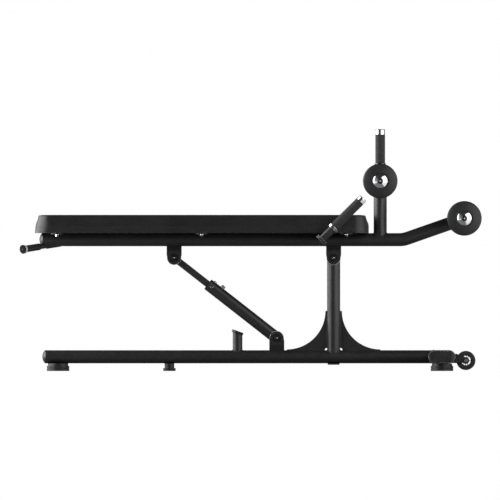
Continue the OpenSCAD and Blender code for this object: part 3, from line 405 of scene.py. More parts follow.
def plated_steel(metal):
    finish = Finish("dark_plated_steel", metal.plated, 0.28, metallic=1.0)
    finish.cloud(120.0, dark=0.8, light=1.15, less=0.06, more=0.10)
    finish.bumps((finish.noise(900.0, 2.0), 0.15, 0.00003), edge=0.0007)
    return finish


def blackened_steel(metal):
    """Oiled black oxide of the pivot bolts, with marks from turning"""
    finish = Finish("blackened_steel", metal.blackened, 0.34, specular=0.4)
    finish.cloud(160.0, dark=0.7, light=1.5, less=0.06, more=0.08)
    finish.bumps((finish.noise(1100.0, 2.0), 0.2, 0.00003), edge=0.0009)
    return finish


def inner_tube_steel(metal):
    """The strut's sliding tube: the same coat, polished in lines by the guide"""
    finish = Finish("rubbed_powder_coat", metal.paint, 0.34)
    lines = finish.noise(1.0, 3.0, 0.6, finish.stretched((4, 300, 300), STRUT_ANGLE))
    finish.mottle(spread(finish.tree, lines), dark=0.9, light=1.6)
    finish.blur(lines, less=0.08, more=0.08)
    finish.bumps((lines, 0.12, 0.00004), edge=0.0009)
    return finish


def moulded_plastic(name, colour, roughness, edge=0.0008, specular=0.42):
    """Plastic with the fine spark texture of its mould"""
    finish = Finish(name, colour, roughness, specular=specular)
    finish.cloud(40.0, dark=0.85, light=1.2, less=0.05, more=0.07)
    finish.bumps((finish.noise(2200.0, 3.0, 0.6), 0.35, 0.00003), edge=edge)
    return finish


def outlined_plastic(name, colour, roughness):
    """Moulded plastic with a painted highlight: its edges are coloured near white"""
    finish = moulded_plastic(name, colour, roughness, edge=0.0016)
    edges = finish.edges(radius=0.0019, samples=6, sharp=0.85, flat=0.99)
    # Painted highlight: a near-white colour laid along the edges
    finish.overlay(edges, (0.75, 0.75, 0.76))
    return finish


def soft_rubber(name, colour, roughness, cell):
    """Foamed rubber: open cells of one size over a soft unevenness"""
    finish = Finish(name, colour, roughness, specular=0.35)
    cells = add_node(
        finish.tree, "ShaderNodeTexVoronoi", {"Vector": finish.coords, "Scale": 1 / cell},
        feature="SMOOTH_F1").outputs["Distance"]
    finish.mottle(spread(finish.tree, finish.noise(70.0, 5.0, 0.65)), dark=0.8, light=1.3)
    finish.blur(cells, less=0.08, more=0.08)
    uneven = finish.noise(160.0, 3.0)
    finish.bumps((cells, 0.5, cell * 0.08), (uneven, 0.2, 0.00005), edge=0.0008)
    return finish


def grained_vinyl(name, colour, roughness, grain, sheen=0.0):
    """Coated fabric with an embossed leather grain, and a sheen set only near the pad's ends,
    which paints a light rim there
    """
    finish = Finish(name, colour, roughness, specular=0.42)
    tree, coords = finish.tree, finish.coords
    # Painted highlight: sheen only near the pad's ends draws a light rim along them
    if sheen:
        half = PAD_LENGTH / 2
        away = distance_of(tree, part_of(tree, coords, "X"), PAD_MIDDLE.x)
        near_end = spread(tree, away, 0, sheen, half - 0.028, half - 0.006)
        finish.link(near_end, "Sheen Weight")
        finish.set("Sheen Roughness", 0.3)
    wobble = finish.noise(180.0, 2.0, output="Color")
    bent = vector_math(tree, "MULTIPLY_ADD", wobble, (0.0012,) * 3, coords)["Vector"]
    cells = add_node(
        tree, "ShaderNodeTexVoronoi", {"Vector": bent, "Scale": 1 / grain},
        feature="DISTANCE_TO_EDGE").outputs["Distance"]
    valleys = spread(tree, cells, 0, 1, 0.0, 0.16)
    finish.mottle(valleys, dark=0.75, light=1.08)
    finish.blur(finish.noise(8.0, 5.0, 0.6), less=0.06, more=0.06)
    finish.bumps(
        (valleys, 0.5, grain * 0.05), (finish.noise(2.6 / grain, 3.0, 0.6), 0.25, grain * 0.03),
        (finish.noise(22.0, 2.0), 0.25, 0.0006))
    return finish


def stained_board(colour):
    """Plywood under the pad, with its grain along the bench"""
    finish = Finish("pad_plywood", colour, 0.62, specular=0.3)
    grain = finish.noise(4.0, 6.0, 0.62, finish.stretched((3, 40, 40)))
    finish.mottle(spread(finish.tree, grain), dark=0.6, light=1.5)
    finish.bumps((grain, 0.3, 0.0002))
    return finish


def thread(colour):
    finish = Finish("bonded_thread", colour, 0.6, specular=0.4)
    twist = add_node(
        finish.tree, "ShaderNodeTexWave",
        {"Vector": finish.coords, "Scale": 900.0, "Distortion": 1.0},
        bands_direction="DIAGONAL").outputs["Fac"]
    finish.mottle(twist, dark=0.7, light=1.3)
    finish.bumps((twist, 0.4, 0.0001))
    return finish


def finish_of(name, make, *values):
    """The material of that name, made once."""
    return bpy.data.materials.get(name) or make(*values).material


def coat_nodes(names, material):
    for name in names:
        for slot in NODES[name].material_slots:
            slot.material = material


# Mesh building

def add_object(name, data, material=None):
    piece = bpy.data.objects.new(name, data)
    bpy.context.scene.collection.objects.link(piece)
    if material is not None:
        data.materials.clear()
        data.materials.append(material)
    return piece


def evaluated_mesh(piece):
    depsgraph = bpy.context.evaluated_depsgraph_get()
    return bpy.data.meshes.new_from_object(piece.evaluated_get(depsgraph))


def circle(steps):
    """Cosine and sine of even steps round a circle."""
    turns = (2 * math.pi * i / steps for i in range(steps))
    return [(math.cos(a), math.sin(a)) for a in turns]


def mesh_from(name, points, faces):
    mesh = bpy.data.meshes.new(name)
    mesh.from_pydata([tuple(p) for p in points], [], faces)
    work = bmesh.new()
    work.from_mesh(mesh)
    bmesh.ops.remove_doubles(work, verts=work.verts, dist=1e-6)
    bmesh.ops.recalc_face_normals(work, faces=work.faces)
    for face in work.faces:
        face.smooth = True
    work.to_mesh(mesh)
    work.free()
    return mesh


def rounded_outline(length, width, radius, arc_steps, long_steps, short_steps):
    """Centre and outward direction of each point of a rounded rectangle, side by side
    and counter-clockwise, with the sides' point counts."""
    centres, directions, counts = [], [], []
    sides = ((length, width, long_steps), (width, length, short_steps)) * 2
    for turn, (along, across, steps) in enumerate(sides):
        half, reach = along / 2 - radius, across / 2 - radius
        places = [(-half, -135 + 45 * i / arc_steps) for i in range(arc_steps)]
        places += [(half * (2 * i / steps - 1), -90) for i in range(steps)]
        places += [(half, -90 + 45 * i / arc_steps) for i in range(arc_steps)]
        turned = Matrix.Rotation(math.radians(90 * turn), 2)
        for x, angle in places:
            centres.append(turned @ Vector((x, -reach)))
            a = math.radians(angle)
            directions.append(turned @ Vector((math.cos(a), math.sin(a))))
        counts.append(len(places))
    return np.array(centres), np.array(directions), counts


def sides_of(ring, counts):
    """The low, right, high and left side of a closed ring, each along +X or +Y."""
    nx, ny = counts[:2]
    closed = np.concatenate([ring, ring[:1]])
    return (
        closed[:nx + 1], closed[nx:nx + ny + 1],
        closed[nx + ny:2 * nx + ny + 1][::-1], closed[2 * nx + ny:][::-1],
    )


def patch_between(ring, counts):
    """Grid of points inside a closed ring of four sides."""
    low, right, high, left = sides_of(ring, counts)
    u = np.linspace(0, 1, len(low))[:, None, None]
    v = np.linspace(0, 1, len(left))[None, :, None]
    across = (1 - v) * low[:, None] + v * high[:, None]
    along = (1 - u) * left[None] + u * right[None]
    corners = (
        (1 - u) * (1 - v) * low[0] + u * (1 - v) * low[-1]
        + (1 - u) * v * high[0] + u * v * high[-1]
    )
    return across + along - corners


def inset_of(x, y, length, width, radius):
    """Distance from a point inside a rounded rectangle to its edge."""
    qx, qy = abs(x) - (length / 2 - radius), abs(y) - (width / 2 - radius)
    outside = math.hypot(max(qx, 0), max(qy, 0))
    return radius - outside - min(max(qx, qy), 0)


class Shell:
    """Points and faces of a closed shell, built ring by ring."""

    def __init__(self):
        self.points, self.faces = [], []

    def ring(self, points):
        start = len(self.points)
        self.points.extend(points)
        return start

    def join(self, starts, count):
        """Joins each ring to the next one."""
        for first, second in zip(starts, starts[1:]):
            for i in range(count):
                j = (i + 1) % count
                self.faces.append((first + i, first + j, second + j, second + i))

    def cap(self, start, counts, height_at):
        """Fills a ring with a grid whose inner points get their height from height_at."""
        total = sum(counts)
        grid = patch_between(np.array(self.points[start:start + total]), counts)
        nx, ny = counts[:2]
        index = np.zeros((nx + 1, ny + 1), int)
        index[:, 0], index[nx], index[:, ny], index[0] = sides_of(
            np.arange(start, start + total), counts)
        for i in range(1, nx):
            for j in range(1, ny):
                x, y, _ = grid[i, j]
                index[i, j] = len(self.points)
                self.points.append((x, y, height_at(x, y)))
        for i in range(nx):
            for j in range(ny):
                self.faces.append((
                    index[i, j], index[i + 1, j], index[i + 1, j + 1], index[i, j + 1]))

    def piece(self, name, material):
        return add_object(name, mesh_from(name, self.points, self.faces), material)


def subdivide_once(piece):
    subdivision = piece.modifiers.new("smooth", "SUBSURF")
    subdivision.levels = subdivision.render_levels = 1


CLOTH_FRAMES = 20
CLOTH_SETTINGS = {
    "quality": 6, "mass": 0.35, "tension_stiffness": 22, "compression_stiffness": 22,
    "shear_stiffness": 12, "bending_stiffness": 1.2, "use_pressure": True,
    "vertex_group_mass": "held",
}


def simulated_swell(shape, pin_below, voxel, pressure, most):
    """Blows up a copy of a shape as cloth, held below a height, and gives the places
    of its points and how far each one moved."""
    scene = bpy.context.scene
    proxy = add_object("swell_proxy", shape.data.copy())
    remesh = proxy.modifiers.new("even", "REMESH")
    remesh.mode, remesh.voxel_size = "VOXEL", voxel
    even = evaluated_mesh(proxy)
    proxy.modifiers.clear()
    proxy.data = even
    held = proxy.vertex_groups.new(name="held")
    held.add([v.index for v in even.vertices if v.co.z < pin_below], 1.0, "REPLACE")
    rest = np.array([v.co for v in even.vertices])
    cloth = proxy.modifiers.new("cloth", "CLOTH")
    for setting, value in CLOTH_SETTINGS.items():
        setattr(cloth.settings, setting, value)
    cloth.settings.uniform_pressure_force = pressure
    cloth.settings.effector_weights.gravity = 0
    cloth.point_cache.frame_start, cloth.point_cache.frame_end = 1, CLOTH_FRAMES
    for step in range(1, CLOTH_FRAMES + 1):
        scene.frame_set(step)
    blown = evaluated_mesh(proxy)
    moves = np.array([v.co for v in blown.vertices]) - rest
    scene.frame_set(1)
    bpy.data.objects.remove(proxy)
    lengths = np.linalg.norm(moves, axis=1, keepdims=True)
    moves *= np.minimum(1.0, most / np.maximum(lengths, 1e-9))
    return rest, moves


def carry_moves(shape, rest, moves, neighbours=8):
    """Moves a shape's points by the mean of the nearest simulated ones."""
    tree = KDTree(len(rest))
    for i, place in enumerate(rest):
        tree.insert(place, i)
    tree.balance()
    for vertex in shape.data.vertices:
        near = tree.find_n(vertex.co, neighbours)
        weights = [1 / (distance * distance + 1e-6) for _, _, distance in near]
        total = sum(weights)
        shift = sum((w * moves[i] for w, (_, i, _) in zip(weights, near)), np.zeros(3))
        vertex.co += Vector(shift / total)


# Geometry nodes for what repeats

def start_tree(name, *inputs):
    """A geometry tree with a geometry input, named number inputs and a material."""
    tree = bpy.data.node_groups.new(name, "GeometryNodeTree")
    sockets = tree.interface
    sockets.new_socket("Geometry", in_out="INPUT", socket_type="NodeSocketGeometry")
    for label, kind, default in inputs:
        made = sockets.new_socket(label, in_out="INPUT", socket_type=f"NodeSocket{kind}")
        made.default_value = default
    sockets.new_socket("Material", in_out="INPUT", socket_type="NodeSocketMaterial")
    sockets.new_socket("Geometry", in_out="OUTPUT", socket_type="NodeSocketGeometry")
    return tree, add_node(tree, "NodeGroupInput").outputs


def end_tree(tree, given, points, instance, turn, scale=(1, 1, 1)):
    """Sets the instance on every point and ends the tree in real, smooth geometry."""
    placed = add_node(tree, "GeometryNodeInstanceOnPoints", {
        "Points": points, "Instance": instance, "Rotation": turn, "Scale": scale})
    real = add_node(
        tree, "GeometryNodeRealizeInstances", {"Geometry": placed.outputs["Instances"]})
    smooth = add_node(
        tree, "GeometryNodeSetShadeSmooth", {"Geometry": real.outputs["Geometry"]})
    painted = add_node(tree, "GeometryNodeSetMaterial", {
        "Geometry": smooth.outputs["Geometry"], "Material": given["Material"]})
    add_node(tree, "NodeGroupOutput", {"Geometry": painted.outputs["Geometry"]})
    return tree


def turn_along(tree, vector, axis):
    return add_node(
        tree, "FunctionNodeAlignRotationToVector", {"Vector": vector}, axis=axis,
    ).outputs["Rotation"]


def steps_along(tree, given):
    """Even points on the input curve, and the turn of Z along it."""
    points = add_node(tree, "GeometryNodeResampleCurve", {
        "Curve": given["Geometry"], "Length": given["Step"]}, mode="LENGTH")
    tangent = add_node(tree, "GeometryNodeInputTangent").outputs["Tangent"]
    return points.outputs["Curve"], turn_along(tree, tangent, "Z")


def beads_along_path():
    """Rounded beads along a path: ripples of a weld, or stitches of a seam"""
    tree, given = start_tree(
        "beads_along_path", ("Step", "Float", 0.003), ("Length", "Float", 0.003),
        ("Width", "Float", 0.002), ("Height", "Float", 0.002),
        ("Unevenness", "Float", 0.1), ("Sides", "Int", 8), ("Seed", "Int", 1))
    points, turn = steps_along(tree, given)
    size = add_node(tree, "ShaderNodeCombineXYZ", {
        "X": given["Width"], "Y": given["Height"], "Z": given["Length"]}).outputs["Vector"]
    bead = add_node(tree, "GeometryNodeMeshUVSphere", {
        "Segments": given["Sides"], "Rings": 6, "Radius": 0.5}).outputs["Mesh"]
    vary = add_node(
        tree, "FunctionNodeRandomValue", {
            2: math_of(tree, "SUBTRACT", 1.0, given["Unevenness"]),
            3: math_of(tree, "ADD", 1.0, given["Unevenness"]), "Seed": given["Seed"],
        }, data_type="FLOAT").outputs[1]
    scale = add_node(
        tree, "ShaderNodeVectorMath", {0: size, "Scale": vary}, operation="SCALE")
    return end_tree(tree, given, points, bead, turn, scale.outputs["Vector"])


def staples_along_path():
    """Wire staples across a path"""
    tree, given = start_tree(
        "staples_along_path", ("Step", "Float", 0.03), ("Crown", "Float", 0.010),
        ("Wire", "Float", 0.0007))
    points, turn = steps_along(tree, given)
    wire = add_node(tree, "GeometryNodeMeshCylinder", {
        "Vertices": 8, "Side Segments": 1, "Radius": given["Wire"],
        "Depth": given["Crown"]}).outputs["Mesh"]
    return end_tree(tree, given, points, wire, turn)


def ribs_round_axis():
    """Ribs round an axis, such as the tread of a wheel"""
    tree, given = start_tree(
        "ribs_round_axis", ("Count", "Int", 48), ("Radius", "Float", 0.01),
        ("Length", "Float", 0.01), ("Width", "Float", 0.001), ("Height", "Float", 0.001))
    rim = add_node(
        tree, "GeometryNodeMeshCircle",
        {"Vertices": given["Count"], "Radius": given["Radius"]}, fill_type="NONE")
    size = add_node(tree, "ShaderNodeCombineXYZ", {
        "X": given["Height"], "Y": given["Width"], "Z": given["Length"]})
    rib = add_node(
        tree, "GeometryNodeMeshUVSphere", {"Segments": 8, "Rings": 8, "Radius": 0.5})
    place = add_node(tree, "GeometryNodeInputPosition").outputs["Position"]
    return end_tree(
        tree, given, rim.outputs["Mesh"], rib.outputs["Mesh"],
        turn_along(tree, place, "X"), size.outputs["Vector"])


def tree_of(make):
    """The tree that a function makes under its own name, made once."""
    return bpy.data.node_groups.get(make.__name__) or make()


def paths_curve(name, paths):
    """A curve with one straight-stepped spline for each (points, closed)."""
    curve = bpy.data.curves.new(name, "CURVE")
    curve.dimensions = "3D"
    for points, closed in paths:
        spline = curve.splines.new("POLY")
        spline.points.add(len(points) - 1)
        for place, point in zip(points, spline.points):
            point.co = (*place, 1)
        spline.use_cyclic_u = closed
    return curve


def grown(name, data, make, values, place=None):
    """Runs a geometry tree on a curve or mesh and keeps the result as a plain mesh."""
    tree = tree_of(make)
    source = add_object(name + "_source", data)
    modifier = source.modifiers.new("grow", "NODES")
    modifier.node_group = tree
    sockets = {
        item.name: item.identifier for item in tree.interface.items_tree
        if item.item_type == "SOCKET" and item.in_out == "INPUT"
    }
    for label, value in values.items():
        modifier[sockets[label]] = value
    mesh = evaluated_mesh(source)
    bpy.data.objects.remove(source)
    mesh.name = name
    if place is not None:
        mesh.transform(place)
    return add_object(name, mesh)


# Weld paths

# Radius of the bead in a gusset's notch, where the straight beads start beside it and
# how far before the gusset's ends they stop. Half of a pad wing's length, and how far
# from its ends a bead stops
NOTCH_R = 10.6 * MM
NOTCH_CLEAR = 12 * MM
WELD_END = 1.5 * MM
WING_HALF = 24.5 * MM
WING_END = 2 * MM


def on_beam(y, axis_z):
    """Height of the beam's upper surface at a distance from its middle."""
    over = max(abs(y) - TUBE_FLAT, 0)
    return axis_z + math.sqrt(max(TUBE_R ** 2 - over ** 2, 0))


def flank_y(height):
    """Half of the beam's width at a height from its axis."""
    return TUBE_FLAT + math.sqrt(TUBE_R ** 2 - height ** 2)


def post_ring(x, radius, axis_z, steps=72):
    """Closed path where a round post stands on the beam."""
    return [
        (x + radius * c, radius * s, on_beam(radius * s, axis_z)) for c, s in circle(steps)
    ], True


def bracket_lines(x0, x1, z, y):
    """Straight paths along the beam on both of its sides."""
    return [([(x0, side * y, z), (x1, side * y, z)], False) for side in (-1, 1)]


def gusset_welds(node, side):
    """Arc in the notch at the corner, and lines along the post and the beam."""
    low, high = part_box(node)
    half = high.y
    tip = low.x if side < 0 else high.x
    root = POST_X + side * math.sqrt(POST_R ** 2 - half ** 2)
    turns = [math.radians(5 + 10 * i) for i in range(9)]
    paths = [([
        (POST_X + side * (POST_R + NOTCH_R * math.cos(a)), 0,
         BASE_HIGH.z + NOTCH_R * math.sin(a)) for a in turns], False)]
    for y in (-half, half):
        paths.append(([
            (root, y, BASE_HIGH.z + NOTCH_CLEAR), (root, y, high.z - WELD_END)], False))
        paths.append(([
            (root + side * NOTCH_CLEAR, y, BASE_HIGH.z),
            (tip - side * WELD_END, y, BASE_HIGH.z)], False))
    return paths


def crossbar_weld():
    """Closed line where the beam's section meets the crossbar's round side."""
    low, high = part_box("rear_crossbar")
    bar_r = (high.z - low.z) / 2
    joint = []
    for c, s in circle(80):
        y, z = TUBE_R * c + math.copysign(TUBE_FLAT, c), TUBE_R * s
        x = low.x + bar_r - math.sqrt(max(bar_r ** 2 - z ** 2, 0))
        joint.append((x, y, BASE_AXIS_Z + z))
    return joint, True


def base_weld_paths():
    low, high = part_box("strut_lower_bracket")
    stop_low, stop_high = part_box("rest_stop_post")
    stop_r = (stop_high.y - stop_low.y) / 2
    flank = low.z - BASE_AXIS_Z
    return [
        post_ring(POST_X, POST_R, BASE_AXIS_Z),
        post_ring((stop_low.x + stop_high.x) / 2, stop_r, BASE_AXIS_Z, 48),
        *bracket_lines(low.x, high.x, low.z, flank_y(flank)),
        *gusset_welds("front_gusset", -1), *gusset_welds("rear_gusset", 1),
        crossbar_weld(),
    ]


def bench_weld_paths():
    paths = [post_ring(KNEE_X, POST_R, BENCH_AXIS_Z)]
    for node in ("main_bracket", "strut_upper_bracket"):
        low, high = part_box(node)
        paths += bracket_lines(low.x, high.x, high.z, flank_y(BENCH_AXIS_Z - high.z))
    low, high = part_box("handle_cross_tube")
    cross_r = (high.z - low.z) / 2
    x, z = (low.x + high.x) / 2, (low.z + high.z) / 2
    for side in (-1, 1):
        ring = [
            (x + cross_r * c, side * flank_y(z + cross_r * s - BENCH_AXIS_Z), z + cross_r * s)
            for c, s in circle(40)
        ]
        paths.append((ring, True))
    low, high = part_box("pad_wings")
    under = low.z - BENCH_AXIS_Z
    for middle in (low.x + WING_HALF, (low.x + high.x) / 2, high.x - WING_HALF):
        paths += bracket_lines(
            middle - WING_HALF + WING_END, middle + WING_HALF - WING_END, low.z,
            flank_y(under))
    return paths


# Middles of the sockets in the bolts' heads, each with the side it looks to

def sockets_of(node, x, z, sides):
    low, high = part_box(node)
    reach = {-1: low.y, 1: high.y}
    return [(Vector((x, reach[side], z)), side) for side in sides]


def base_sockets():
    low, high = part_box("strut_lower_bolt")
    return sockets_of(
        "strut_lower_bolt", (low.x + high.x) / 2, (low.z + high.z) / 2, (-1,))


def bench_sockets():
    places = []
    low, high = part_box("bench_bolts")
    for node in ("main_bracket", "strut_upper_bracket"):
        bracket_low, bracket_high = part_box(node)
        places += sockets_of(
            "bench_bolts", (bracket_low.x + bracket_high.x) / 2, (low.z + high.z) / 2, (-1,))
    for place in ("knee", "foot"):
        low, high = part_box(f"{place}_sleeve_left")
        places += sockets_of(
            "roller_disc_bolts", (low.x + high.x) / 2, (low.z + high.z) / 2, (-1, 1))
    return places


# Operators

class BENCH_OT_metal(Operator):
    """Paints, chromes and plates the steel pieces"""

    bl_idname = "bench.metal"
    bl_label = "Metal finishes"

    def execute(self, context):
        metal = context.scene.bench_looks.metal
        coat_nodes(PAINTED, finish_of("satin_powder_coat", powder_coat, metal))
        coat_nodes(CHROMED, finish_of("bright_chrome", chrome_plate, metal))
        coat_nodes(PLATED, finish_of("dark_plated_steel", plated_steel, metal))
        for names, finish in (
            (("chrome_collars",), collar_chrome(metal)),
            (("lift_handle_rings",), ring_chrome(metal)),
            (WASHERS, satin_chrome(metal, "satin_chrome", 0.38, 0.50)),
            (BLACKENED, blackened_steel(metal)),
            (("strut_inner_tube",), inner_tube_steel(metal)),
        ):
            coat_nodes(names, finish.material)
        return {"FINISHED"}


class BENCH_OT_plastic(Operator):
    """Gives the rubber and plastic pieces their finishes"""

    bl_idname = "bench.plastic"
    bl_label = "Rubber and plastic finishes"

    def execute(self, context):
        plastic = context.scene.bench_looks.plastic
        plug = scaled(plastic.cap, 0.3)
        for names, finish in (
            (GRIPS, soft_rubber("grip_rubber", plastic.grip, 0.72, 0.0011)),
            (RUBBERS, soft_rubber("sole_rubber", plastic.sole, 0.46, 0.0006)),
            (MOULDED, moulded_plastic("moulded_cap", plastic.cap, 0.36)),
            (OUTLINED, outlined_plastic("edge_highlight_plastic", plastic.cap, 0.40)),
            (MATT, moulded_plastic("matt_plug", plug, 0.75, specular=0.1)),
            (WHEELS, moulded_plastic("moulded_wheel", plastic.wheel, 0.40)),
            (SLEEVES, moulded_plastic("sleeve_plastic", plastic.cap, 0.5)),
        ):
            coat_nodes(names, finish.material)
        return {"FINISHED"}


class BENCH_OT_welds(Operator):
    """Lays painted weld beads where the steel pieces meet"""

    bl_idname = "bench.welds"
    bl_label = "Weld beads"

    def execute(self, context):
        metal = context.scene.bench_looks.metal
        paint = finish_of("satin_powder_coat", powder_coat, metal)
        for name, body, paths in (
            ("base_weld_beads", "base", base_weld_paths()),
            ("bench_weld_beads", "bench", bench_weld_paths()),
        ):
            beads = grown(name, paths_curve(name, paths), beads_along_path, {
                "Step": metal.bead_step, "Length": metal.bead_step * 1.7,
                "Width": metal.bead * 2, "Height": metal.bead * 2, "Unevenness": 0.12,
                "Sides": 8, "Seed": 7, "Material": paint,
            })
            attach(beads, body)
        return {"FINISHED"}


class BENCH_OT_pad_cover(Operator):
    """Upholsters the pad: a crowned cover over foam, sewn above a side band"""

    bl_idname = "bench.pad_cover"
    bl_label = "Pad cover"

    # Height above the pad's underside, inset of the cover's outer face, and how much
    # farther in it stands at the head end, in mm
    side_profile = (
        (-1.0, 27.0, 0.3), (-1.0, 1.4, 0.3), (-0.95, 0.7, 0.3), (-0.6, 0.4, 0.3),
        (0.4, 0.3, 0.4), (9.0, 0.3, 1.1), (12.5, 0.3, 1.2), (16.5, 0.35, 2.4),
        (22.0, 0.4, 2.9), (25.0, 0.6, 3.0), (25.7, 1.0, 3.0), (26.0, 1.3, 3.0),
        (26.3, 1.1, 3.0), (27.2, 1.0, 3.0), (31.7, 2.1, 3.0), (39.3, 4.2, 3.0),
        (46.9, 6.7, 3.0), (54.5, 8.8, 2.6), (61.4, 10.6, 2.0), (64.2, 11.4, 1.8),
        (66.0, 12.2, 1.8), (66.9, 14.0, 1.5), (67.3, 17.5, 1.0), (67.5, 24.5, 0.5),
    )
    # Heights at which the corners' folds are deepest, how far up and down they reach,
    # in mm, and how often they follow each other round a full turn
    seam_height = 26.0
    seam_reach = 8.0
    hem_height = -1.0
    hem_reach = 7.0
    folds_by_turn = 28

    board_gap = 0.05 * MM
    hem_width = 27 * MM
    crown_power = 2.4
    most_rise = 0.6 * MM

    def puckered(self, direction, z_mm, depth):
        """Depth of the folds where the cover is gathered round a corner."""
        turn = abs(math.degrees(math.atan2(direction[1], direction[0]))) % 90
        corner = math.sin(math.radians(2 * turn)) ** 2
        near_seam = math.exp(-((z_mm - self.seam_height) / self.seam_reach) ** 2)
        near_hem = math.exp(-((z_mm - self.hem_height) / self.hem_reach) ** 2)
        wave = 0.5 + 0.5 * math.cos(math.radians(turn * self.folds_by_turn))
        return depth * corner * wave * max(near_seam, near_hem)

    def execute(self, context):
        pad = context.scene.bench_looks.pad
        crown = PAD_HIGH.z - PAD_UNDER + pad.crown
        centres, directions, counts = rounded_outline(
            PAD_LENGTH, PAD_WIDTH, pad.corner, arc_steps=7, long_steps=96, short_steps=12)
        middle = np.array([PAD_MIDDLE.x, PAD_MIDDLE.y])
        shell = Shell()

        def ring(z, inset, trim=0.0, folds=True):
            reach = pad.corner - inset
            points = []
            for centre, direction in zip(centres, directions):
                pucker = self.puckered(direction, z / MM, pad.pucker) if folds else 0
                x, y = centre + middle + direction * (reach - pucker)
                near_end = max(0.0, 1 - (x - PAD_LOW.x) / (3 * pad.corner))
                points.append((x + trim * near_end, y, PAD_UNDER + z))
            return shell.ring(points)

        # Inside of the hem, round the board and over it
        board_top = BOARD_HIGH.z - PAD_UNDER + self.board_gap
        board_inset = (BOARD_LOW.x - PAD_LOW.x) - self.board_gap
        inner = [
            ring(board_top, board_inset, folds=False),
            ring(-self.board_gap, board_inset, folds=False),
            ring(-self.board_gap, self.hem_width, folds=False),
        ]
        outer = [ring(*(value * MM for value in row)) for row in self.side_profile]
        shell.join(inner + outer, sum(counts))
        shell.cap(inner[0], counts, lambda x, y: PAD_UNDER + board_top)
        edge_z, edge_inset = (value * MM for value in self.side_profile[-1][:2])

        def crowned(x, y):
            inset = inset_of(x - middle[0], y - middle[1], PAD_LENGTH, PAD_WIDTH, pad.corner)
            across = (inset - edge_inset) / (PAD_WIDTH / 2 - edge_inset)
            across = min(1.0, max(0.0, across))
            return PAD_UNDER + edge_z + (crown - edge_z) * (1 - (1 - across) ** self.crown_power)

        shell.cap(outer[-1], counts, crowned)
        vinyl = grained_vinyl(
            "pad_vinyl", pad.vinyl, pad.vinyl_roughness, pad.grain, pad.sheen).material
        cover = shell.piece("pad_cover", vinyl)
        rest, moves = simulated_swell(
            cover, pin_below=PAD_UNDER + 27 * MM, voxel=8 * MM, pressure=3.0,
            most=pad.swell)
        moves[:, 2] = np.minimum(moves[:, 2], self.most_rise)
        carry_moves(cover, rest, moves)
        subdivide_once(cover)
        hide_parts("pad_cushion")
        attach(cover, "bench")
        coat_nodes(("pad_board",), stained_board(pad.board).material)
        return {"FINISHED"}


class BENCH_OT_pad_sewing(Operator):
    """Sews the pad's side seam and staples its hem under the board"""

    bl_idname = "bench.pad_sewing"
    bl_label = "Pad stitches and staples"

    # Height above the pad's underside and inset from its outline
    seam = (21.6 * MM, 0.6 * MM)
    staple_line = (-0.85 * MM, 18 * MM)

    beam_gap = 6 * MM

    def execute(self, context):
        pad = context.scene.bench_looks.pad
        centres, directions, _ = rounded_outline(
            PAD_LENGTH, PAD_WIDTH, pad.corner, arc_steps=12, long_steps=40, short_steps=8)

        def loop(z, inset):
            return [
                (c[0] + PAD_MIDDLE.x + d[0] * (pad.corner - inset),
                 c[1] + PAD_MIDDLE.y + d[1] * (pad.corner - inset), PAD_UNDER + z)
                for c, d in zip(centres, directions)
            ]

        stitches = grown(
            "pad_stitches", paths_curve("pad_stitches", [(loop(*self.seam), True)]),
            beads_along_path, {
                "Step": pad.stitch_step, "Length": pad.stitch, "Width": 0.0008,
                "Height": 0.0008, "Unevenness": 0.05, "Sides": 6, "Seed": 3,
                "Material": finish_of("bonded_thread", thread, (0.03, 0.03, 0.032)),
            })
        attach(stitches, "bench")
        hem = loop(*self.staple_line)
        clear = TUBE_R + TUBE_FLAT + self.beam_gap
        runs = [
            (list(points), False)
            for beside_beam, points in groupby(hem + hem[:1], lambda p: abs(p[1]) > clear)
            if beside_beam
        ]
        staples = grown(
            "pad_staples", paths_curve("pad_staples", runs), staples_along_path, {
                "Step": pad.staple_step, "Crown": 0.010, "Wire": 0.0004,
                "Material": finish_of(
                    "dark_plated_steel", plated_steel, context.scene.bench_looks.metal),
            })
        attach(staples, "bench")
        return {"FINISHED"}


